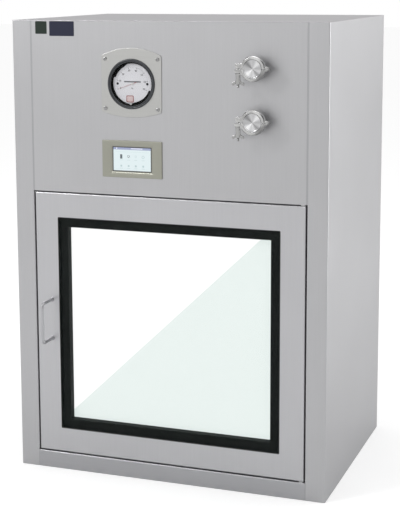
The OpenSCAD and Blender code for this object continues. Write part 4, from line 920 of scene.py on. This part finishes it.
def thread(length, radius, pitch, depth, start):
    """Radius = crest minus depth times a triangle wave of (distance / pitch - angle / turn)."""
    y = np.linspace(0, length, int(length / pitch * 8) + 1)[:, None]
    a = around(24)[None]
    wave = np.abs(((y / pitch - a / (2 * np.pi)) % 1) * 2 - 1)
    fade = np.clip(np.minimum(y - start, length - TIP - y) / RUN_OUT, 0, 1)
    r = radius - depth * wave * fade
    r = np.where(y > length - TIP, radius - TAPER * (y - length + TIP) / TIP, r)
    return about_bolt(r, y, a)


eye = [(2.06, -3.0), (4.4, -3.0), (4.75, -2.7), (4.8, -2.4), (4.8, 2.4), (4.75, 2.7), (4.4, 3.0), (2.06, 3.0)]
for k in ("lower", "upper"):
    at = PORTS[k] + EYE
    shank = thread(length=47, radius=2.88, pitch=1.25, depth=0.5, start=9) + at + [0, -4.0, 0]
    bolt = piece(f"{k}_threaded_bolt", [hoop(turned(eye, at, 40)), block(shank)], f"{k}_bolt", nut_steel, 60)
    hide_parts(f"{k}_swing_bolt")

# %% [markdown]
# The wings of the nut are flat lobes with round edges, one the mirror image of the other. A smooth closed
# curve through ten points gives the lobe's outline, as a pattern maker would draw it with a flexible strip.

# %% Wing nuts
NUT = EYE + [0, -17.3, 0]
HUB = np.array([(2.97, 0.02), (6.6, 0.02), (7.0, 0.35), (7.0, 1.7), (6.7, 2.1), (5.7, 3.9), (5.5, 4.6),
                (5.5, 23.6), (5.2, 24.8), (4.3, 25.7), (3.4, 26.0), (2.97, 25.6)])
WING = np.array([(3.6, -15.5), (6.2, -17.2), (9.6, -20.2), (13.2, -21.4), (15.0, -24.4), (14.2, -27.6),
                 (11.4, -28.9), (8.6, -27.2), (6.6, -24.6), (3.6, -23.6)])
WING_HALF, WING_EDGE = 1.5, 1.1


def smooth_loop(points, steps=6):
    """Closed Catmull-Rom curve through the points: each span is the cubic whose end slopes are half the
    difference of the neighbouring points."""
    p = np.asarray(points, float)
    t = np.linspace(0, 1, steps, endpoint=False)[None, :, None]
    a, b, c, d = (np.roll(p, shift, 0)[:, None] for shift in (1, 0, -1, -2))
    curve = b + 0.5 * t * (c - a + t * (2 * a - 5 * b + 4 * c - d + t * (3 * (b - c) + d - a)))
    return curve.reshape(-1, p.shape[1])


for k in ("lower", "upper"):
    at = PORTS[k] + NUT
    parts = [hoop(about_bolt(HUB[:, :1], HUB[:, 1:], around(40)) + at)]
    for s in (1, -1):
        lobe = smooth_loop(WING * [s, 1])[::-s]
        parts.append(block(soft_slab(lobe, -WING_HALF, WING_HALF, WING_EDGE, at)))
    nut = piece(f"{k}_wing_nut_cast", parts, f"{k}_nut", nut_steel, 50)
    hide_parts(f"{k}_wing_nut")

# %% [markdown]
# ## Seams
# The panels meet the corner posts in folded edges of 3 mm radius. The valley between two such folds is filled
# and sanded almost flush, so it hardly shows. The filler follows the folds, so it widens toward the face.

# %% Filled joints
FOLD, HALF_GAP = 3.0, 0.17
SEAM_X = 349.8
STRETCHES = ((41, 21.5), (417, 924.3))      # height and middle of each, below the doors and above them
deep = np.array([-2.8, -2.0, -1.2, -0.6, -0.3, -0.12])
wide = 2 * (HALF_GAP + FOLD - np.sqrt(FOLD ** 2 - (FOLD + deep) ** 2))
strips = []
for side in SIDES:
    for x in (-SEAM_X, SEAM_X):
        for tall, centre in STRETCHES:
            valley = stacked([(w, tall, 0.01, z) for w, z in zip(wide, deep)], [x, centre, 0], 2)
            strips.append(block(valley, side))
piece("joint_fill", strips, "cabinet", joint_steel)

# %% [markdown]
# ## Doors
# The two doors are the same leaf. Each has a bent round bar for a handle, welded on with a small fillet at
# its feet, a bead of black sealant round the outer pane, and a hollow rubber seal on its inner face.

# %% Handles
HANDLE_X, HANDLE_FOOT = -307.0, LEAF[1] - 39
SPAN, REACH, BEND = 100, 55.0, 12
BAR_R, WELD_R, WELD_H = 4.0, 1.6, 3.0


def handle_path():
    """Straight leg, quarter turn, grip, quarter turn, straight leg, in the plane that stands on the door."""
    t = np.linspace(0, np.pi / 2, 10)
    leg = np.stack([np.zeros(8), np.linspace(0, REACH - BEND - 1, 8)], -1)
    bend = np.stack([BEND - BEND * np.cos(t), REACH - BEND + BEND * np.sin(t)], -1)
    grip = np.stack([np.linspace(BEND + 2, SPAN - BEND - 2, 13), np.full(13, REACH)], -1)
    other = [(part * [-1, 1] + [SPAN, 0])[::-1] for part in (bend, leg)]
    half = np.concatenate([leg, bend, grip, *other])
    return np.stack([np.full(len(half), HANDLE_X), half[:, 0] + HANDLE_FOOT, half[:, 1]], -1)


path = handle_path()
foot = np.clip(1 - path[:, 2] / WELD_H, 0, 1)
bar = BAR_R + WELD_R * foot ** 2
for side in SIDES:
    handle = piece(f"{side}_bar_handle", [block(swept(path, bar), side)], f"{side}_door", bar_steel, 50)
    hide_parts(f"{side}_handle")

# %% Sealant and door seals
SEAL_HALF, SEAL_CORNER, LEAF_BACK = 318, 24, -30
bead = [(573.6, 543.6, 3, -0.6), (573.4, 543.4, 3, 0.25), (572.4, 542.4, 2.6, 0.45), (570.6, 540.6, 2.2, 0.3),
        (569.4, 539.4, 2, -0.35), (571.4, 541.4, 2, -0.6)]
tube = [(6, -0.03), (6, -1.0), (5.4, -1.25), (4.2, -1.3)]
tube += [(4.3 * math.cos(t), -1.5 - 4.1 * math.sin(t) ** 0.7) for t in np.linspace(0.06, math.pi - 0.06, 11)]
tube += [(-4.2, -1.3), (-5.4, -1.25), (-6, -1.0), (-6, -0.03)]
rings = [(2 * (SEAL_HALF + x), 2 * (SEAL_HALF + x), SEAL_CORNER + x, LEAF_BACK + z) for x, z in tube]
for side in SIDES:
    piece(f"{side}_sealant_bead", [hoop(stacked(bead, LEAF), side)], f"{side}_door", sealant)
    bulb = piece(f"{side}_bulb_seal", [hoop(stacked(rings, LEAF, 14), side)], f"{side}_door", rubber)
    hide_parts(f"{side}_door_gasket")

# %% [markdown]
# ## Inside the box
# The germicidal lamp's quartz tube ends in metal cuffs. The filter is a folded paper pack: a zigzag whose
# folds come every four millimetres.

# %% Lamp ends
CUFF_INSET = 0.3
lamp_lo, lamp_hi = (1000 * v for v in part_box("uv_tube"))
_, y0, z0 = (lamp_lo + lamp_hi) / 2
a = around(48)
ends = []
for s in (-1, 1):
    x1 = s * (lamp_hi.x - CUFF_INSET)
    shape = np.array([(0, 0), (8.05, 0), (8.25, 0.4), (8.25, 13), (8.05, 13.6), (7.9, 13.6)])
    r, x = shape[:, :1], -s * shape[:, 1:]
    cuff = np.stack([x1 + x + 0 * a, y0 + r * np.cos(a), z0 + r * np.sin(a)], -1)
    ends.append((cuff / 1000, False, True, True))
piece("lamp_end_caps", ends, "cabinet", turned_steel)

# %% Filter pack
PLEAT, PAPER_T = 0.004, 0.002
media_lo, media_hi = (np.array(v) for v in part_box("filter_media"))
n = int((media_hi[0] - media_lo[0]) / PLEAT)
x = np.linspace(media_lo[0], media_hi[0], 2 * n + 1)
z = np.where(np.arange(2 * n + 1) % 2 == 0, media_lo[2], media_hi[2] - 2 * PAPER_T)
zigzag = np.concatenate([np.stack([x, z], -1), np.stack([x, z + PAPER_T], -1)[::-1]])
pack = np.stack([np.insert(zigzag, 1, y, 1) for y in (media_lo[1], media_hi[1])])
pleats = piece("filter_pleats", [(pack, False, True, True)], "cabinet", paper, 20)
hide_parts("filter_media")

# %% [markdown]
# ## Cable gland and blank labels
# The gland's cap is fluted for the fingers: its radius swings with the cosine of twelve times the angle. The
# body and the lock nut are hexagons. The labels at the panel's upper corner stay blank.

# %% Gland and labels
GLAND = [230, 800, 0]
a = around(144)
flats = np.maximum.reduce([np.abs(np.cos(a + k * np.pi / 3)) for k in range(3)])
ROUND = 1 + 0 * a
HEX = np.minimum(1 / flats * math.cos(math.pi / 6), 0.985)
FLUTED = 1 + 0.022 * np.cos(12 * a)
levels = [(6.5, -12, ROUND), (10, -12, ROUND), (10, -6.6, ROUND), (13.2, -6.5, HEX), (14, -6.3, HEX),
          (14, -1.8, HEX), (13.2, -1.52, HEX), (10, -1.5, ROUND), (10, 0, ROUND), (13.2, 0.02, HEX),
          (14, 0.4, HEX), (14, 5.5, HEX), (13.2, 5.98, HEX), (11.6, 6.02, FLUTED), (12.2, 6.6, FLUTED),
          (12.2, 12.2, FLUTED), (11.4, 13.6, FLUTED), (9.4, 14.6, ROUND), (7.4, 15.0, ROUND),
          (6.5, 14.6, ROUND)]
cap = layers(*[(polar(r * shape, a), z) for r, z, shape in levels])
gland = piece("fluted_gland", [hoop(cap + GLAND, "rear")], "cabinet", nylon, 35)
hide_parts("cable_gland")
LABELS = (("blank_label_left", -322, 1117.2, 30, 30, label_green),
          ("blank_label_right", -266.8, 1115, 65, 35, label_blue))
for name, x, y, w, h, material in LABELS:
    # An outline taken clockwise moves out at both faces instead of in, so the label's cut edge is hollow.
    sheet = soft_slab(box_outline(w, h, 1.5, 6)[::-1], SKIN, 0.5, 0.2, np.array([x, y, 0.0]), 3)
    piece(name, [block(sheet)], "cabinet", material)

# %% [markdown]
# ## Studio
# The box stands on a pale floor that runs into a white background. The floor glows a little for the camera
# only, so it looks nearly as bright as the background and adds no light to the box from below.

# %% Floor
FLOOR_HALF, FLOOR_Z, FLOOR_GLOW = 30, -0.0005, 0.42
floor_mesh = bpy.data.meshes.new("studio_floor")
corners = [(sx * FLOOR_HALF, sy * FLOOR_HALF, FLOOR_Z) for sx, sy in ((-1, -1), (1, -1), (1, 1), (-1, 1))]
floor_mesh.from_pydata(corners, [], [(0, 1, 2, 3)])
floor = put("studio_floor", floor_mesh)
paint = bpy.data.materials.new("studio_white")
paint.use_nodes = True
tree = paint.node_tree
shader = tree.nodes["Principled BSDF"]
for socket, value in {"Base Color": (0.69, 0.69, 0.69, 1), "Roughness": 0.9, "Specular IOR Level": 0.0,
                      "Emission Color": (1, 1, 1, 1)}.items():
    shader.inputs[socket].default_value = value
seen = add(tree, "LightPath").outputs["Is Camera Ray"]
feed(tree, shader.inputs["Emission Strength"], maths(tree, "MULTIPLY", seen, FLOOR_GLOW))
floor_mesh.materials.append(paint)
print("floor of", 2 * FLOOR_HALF, "m")

# %% [markdown]
# Polished steel shows the room it stands in, so the room isn't the same white all round. To the right it has
# a dark patch, and gloss sees a dim band some way above the horizon, which gives the steel its contrast. The
# camera itself sees plain white behind the box.

# %% Room
DARK_WAY = (0.935, -0.355, 0.0)
RAMP_GREYS = ((0.30, 1.0), (0.42, 0.12), (0.72, 0.12), (0.84, 1.0))      # 0 level to 1 overhead, grey
world = bpy.data.worlds.new("studio_world")
bpy.context.scene.world = world
world.use_nodes = True
tree = world.node_tree
sky = tree.nodes["Background"]
sky.inputs["Color"].default_value = (1, 1, 1, 1)
ray = add(tree, "LightPath").outputs
direct = maths(tree, "MAXIMUM", ray["Is Camera Ray"], ray["Is Glossy Ray"])
direct = maths(tree, "MAXIMUM", direct, ray["Is Transmission Ray"])
level = add(tree, "MapRange", Value=direct, To_Min=0.8, To_Max=0.95)
way = add(tree, "TexCoord").outputs["Generated"]
near = add(tree, "VectorMath")
near.operation = "DOT_PRODUCT"
feed(tree, near.inputs[0], way)
feed(tree, near.inputs[1], DARK_WAY)
dip = add(tree, "MapRange", Value=near.outputs["Value"], From_Min=0.82, From_Max=0.97, To_Min=1.0,
          To_Max=0.12)
band = add(tree, "ValToRGB", Fac=add(tree, "SeparateXYZ", Vector=way).outputs["Z"])
stops = band.color_ramp.elements
for where, _ in RAMP_GREYS[2:]:
    stops.new(where)
for stop, (where, grey) in zip(stops, RAMP_GREYS):
    stop.position, stop.color = where, (grey, grey, grey, 1)
gloss_only = add(tree, "Mix", Factor=ray["Is Glossy Ray"], A=1.0, B=band.outputs["Color"])
room = maths(tree, "MULTIPLY", dip.outputs[0], gloss_only.outputs["Result"])
total = maths(tree, "MULTIPLY", level.outputs[0], room)
feed(tree, sky.inputs["Strength"], maths(tree, "MAXIMUM", total, ray["Is Camera Ray"]))
print("room:", len(tree.nodes), "nodes")

# %% [markdown]
# Three large soft lamps light the box: one from the front left and high up, one from the right at door
# height, and one from above.

# %% Lamps


def softbox(name, place, aim, width, height, watts):
    lamp = bpy.data.lights.new(name, "AREA")
    lamp.shape, lamp.size, lamp.size_y, lamp.energy = "RECTANGLE", width, height, watts
    obj = put(name, lamp)
    obj.location = place
    obj.rotation_euler = (Vector(aim) - Vector(place)).to_track_quat("-Z", "Y").to_euler()
    print(f"{name} lamp: {watts} W")


softbox("key", (-2.4, -3.0, 3.2), (0, 0, 0.6), 1.1, 1.1, 60)
softbox("side", (3.6, 1.6, 0.9), (0.4, 0, 0.5), 2.0, 2.0, 48)
softbox("sky", (0.3, 0.3, 4.2), (0, 0, 0.5), 2.5, 2.5, 18)

# %% [markdown]
# The camera looks from the front right and a little above. Its three angles turn it in order, and the shift
# moves the picture's middle off the lens's axis, so upright edges keep their slant.

# %% Camera
FOCAL, YAW, PITCH, ROLL = 1332.1, 0.3540, 0.1503, -0.0049      # focal length in pixels, angles in radians
CENTRE_X, CENTRE_Y = 183.85, 180.0
FRAME_W, FRAME_H, SENSOR = 400, 512, 36
EYE_POINT = Vector((1.1335, -3.2323, 1.2341))
forward = Vector((-math.sin(YAW) * math.cos(PITCH), math.cos(YAW) * math.cos(PITCH), -math.sin(PITCH)))
across = Vector((math.cos(YAW), math.sin(YAW), 0))
upward = across.cross(forward)
right = math.cos(ROLL) * across + math.sin(ROLL) * upward
upward = -math.sin(ROLL) * across + math.cos(ROLL) * upward
lens = bpy.data.cameras.new("camera")
lens.sensor_width = SENSOR
lens.lens = FOCAL * SENSOR / FRAME_H
lens.shift_x = (FRAME_W / 2 - CENTRE_X) / FRAME_H
lens.shift_y = (CENTRE_Y - FRAME_H / 2) / FRAME_H
camera = put("camera", lens)
camera.matrix_world = Matrix((right, upward, -forward)).transposed().to_4x4()
camera.location = EYE_POINT
bpy.context.scene.camera = camera
bpy.context.scene.view_settings.view_transform = "Standard"
print("lens of", round(lens.lens, 1), "mm")
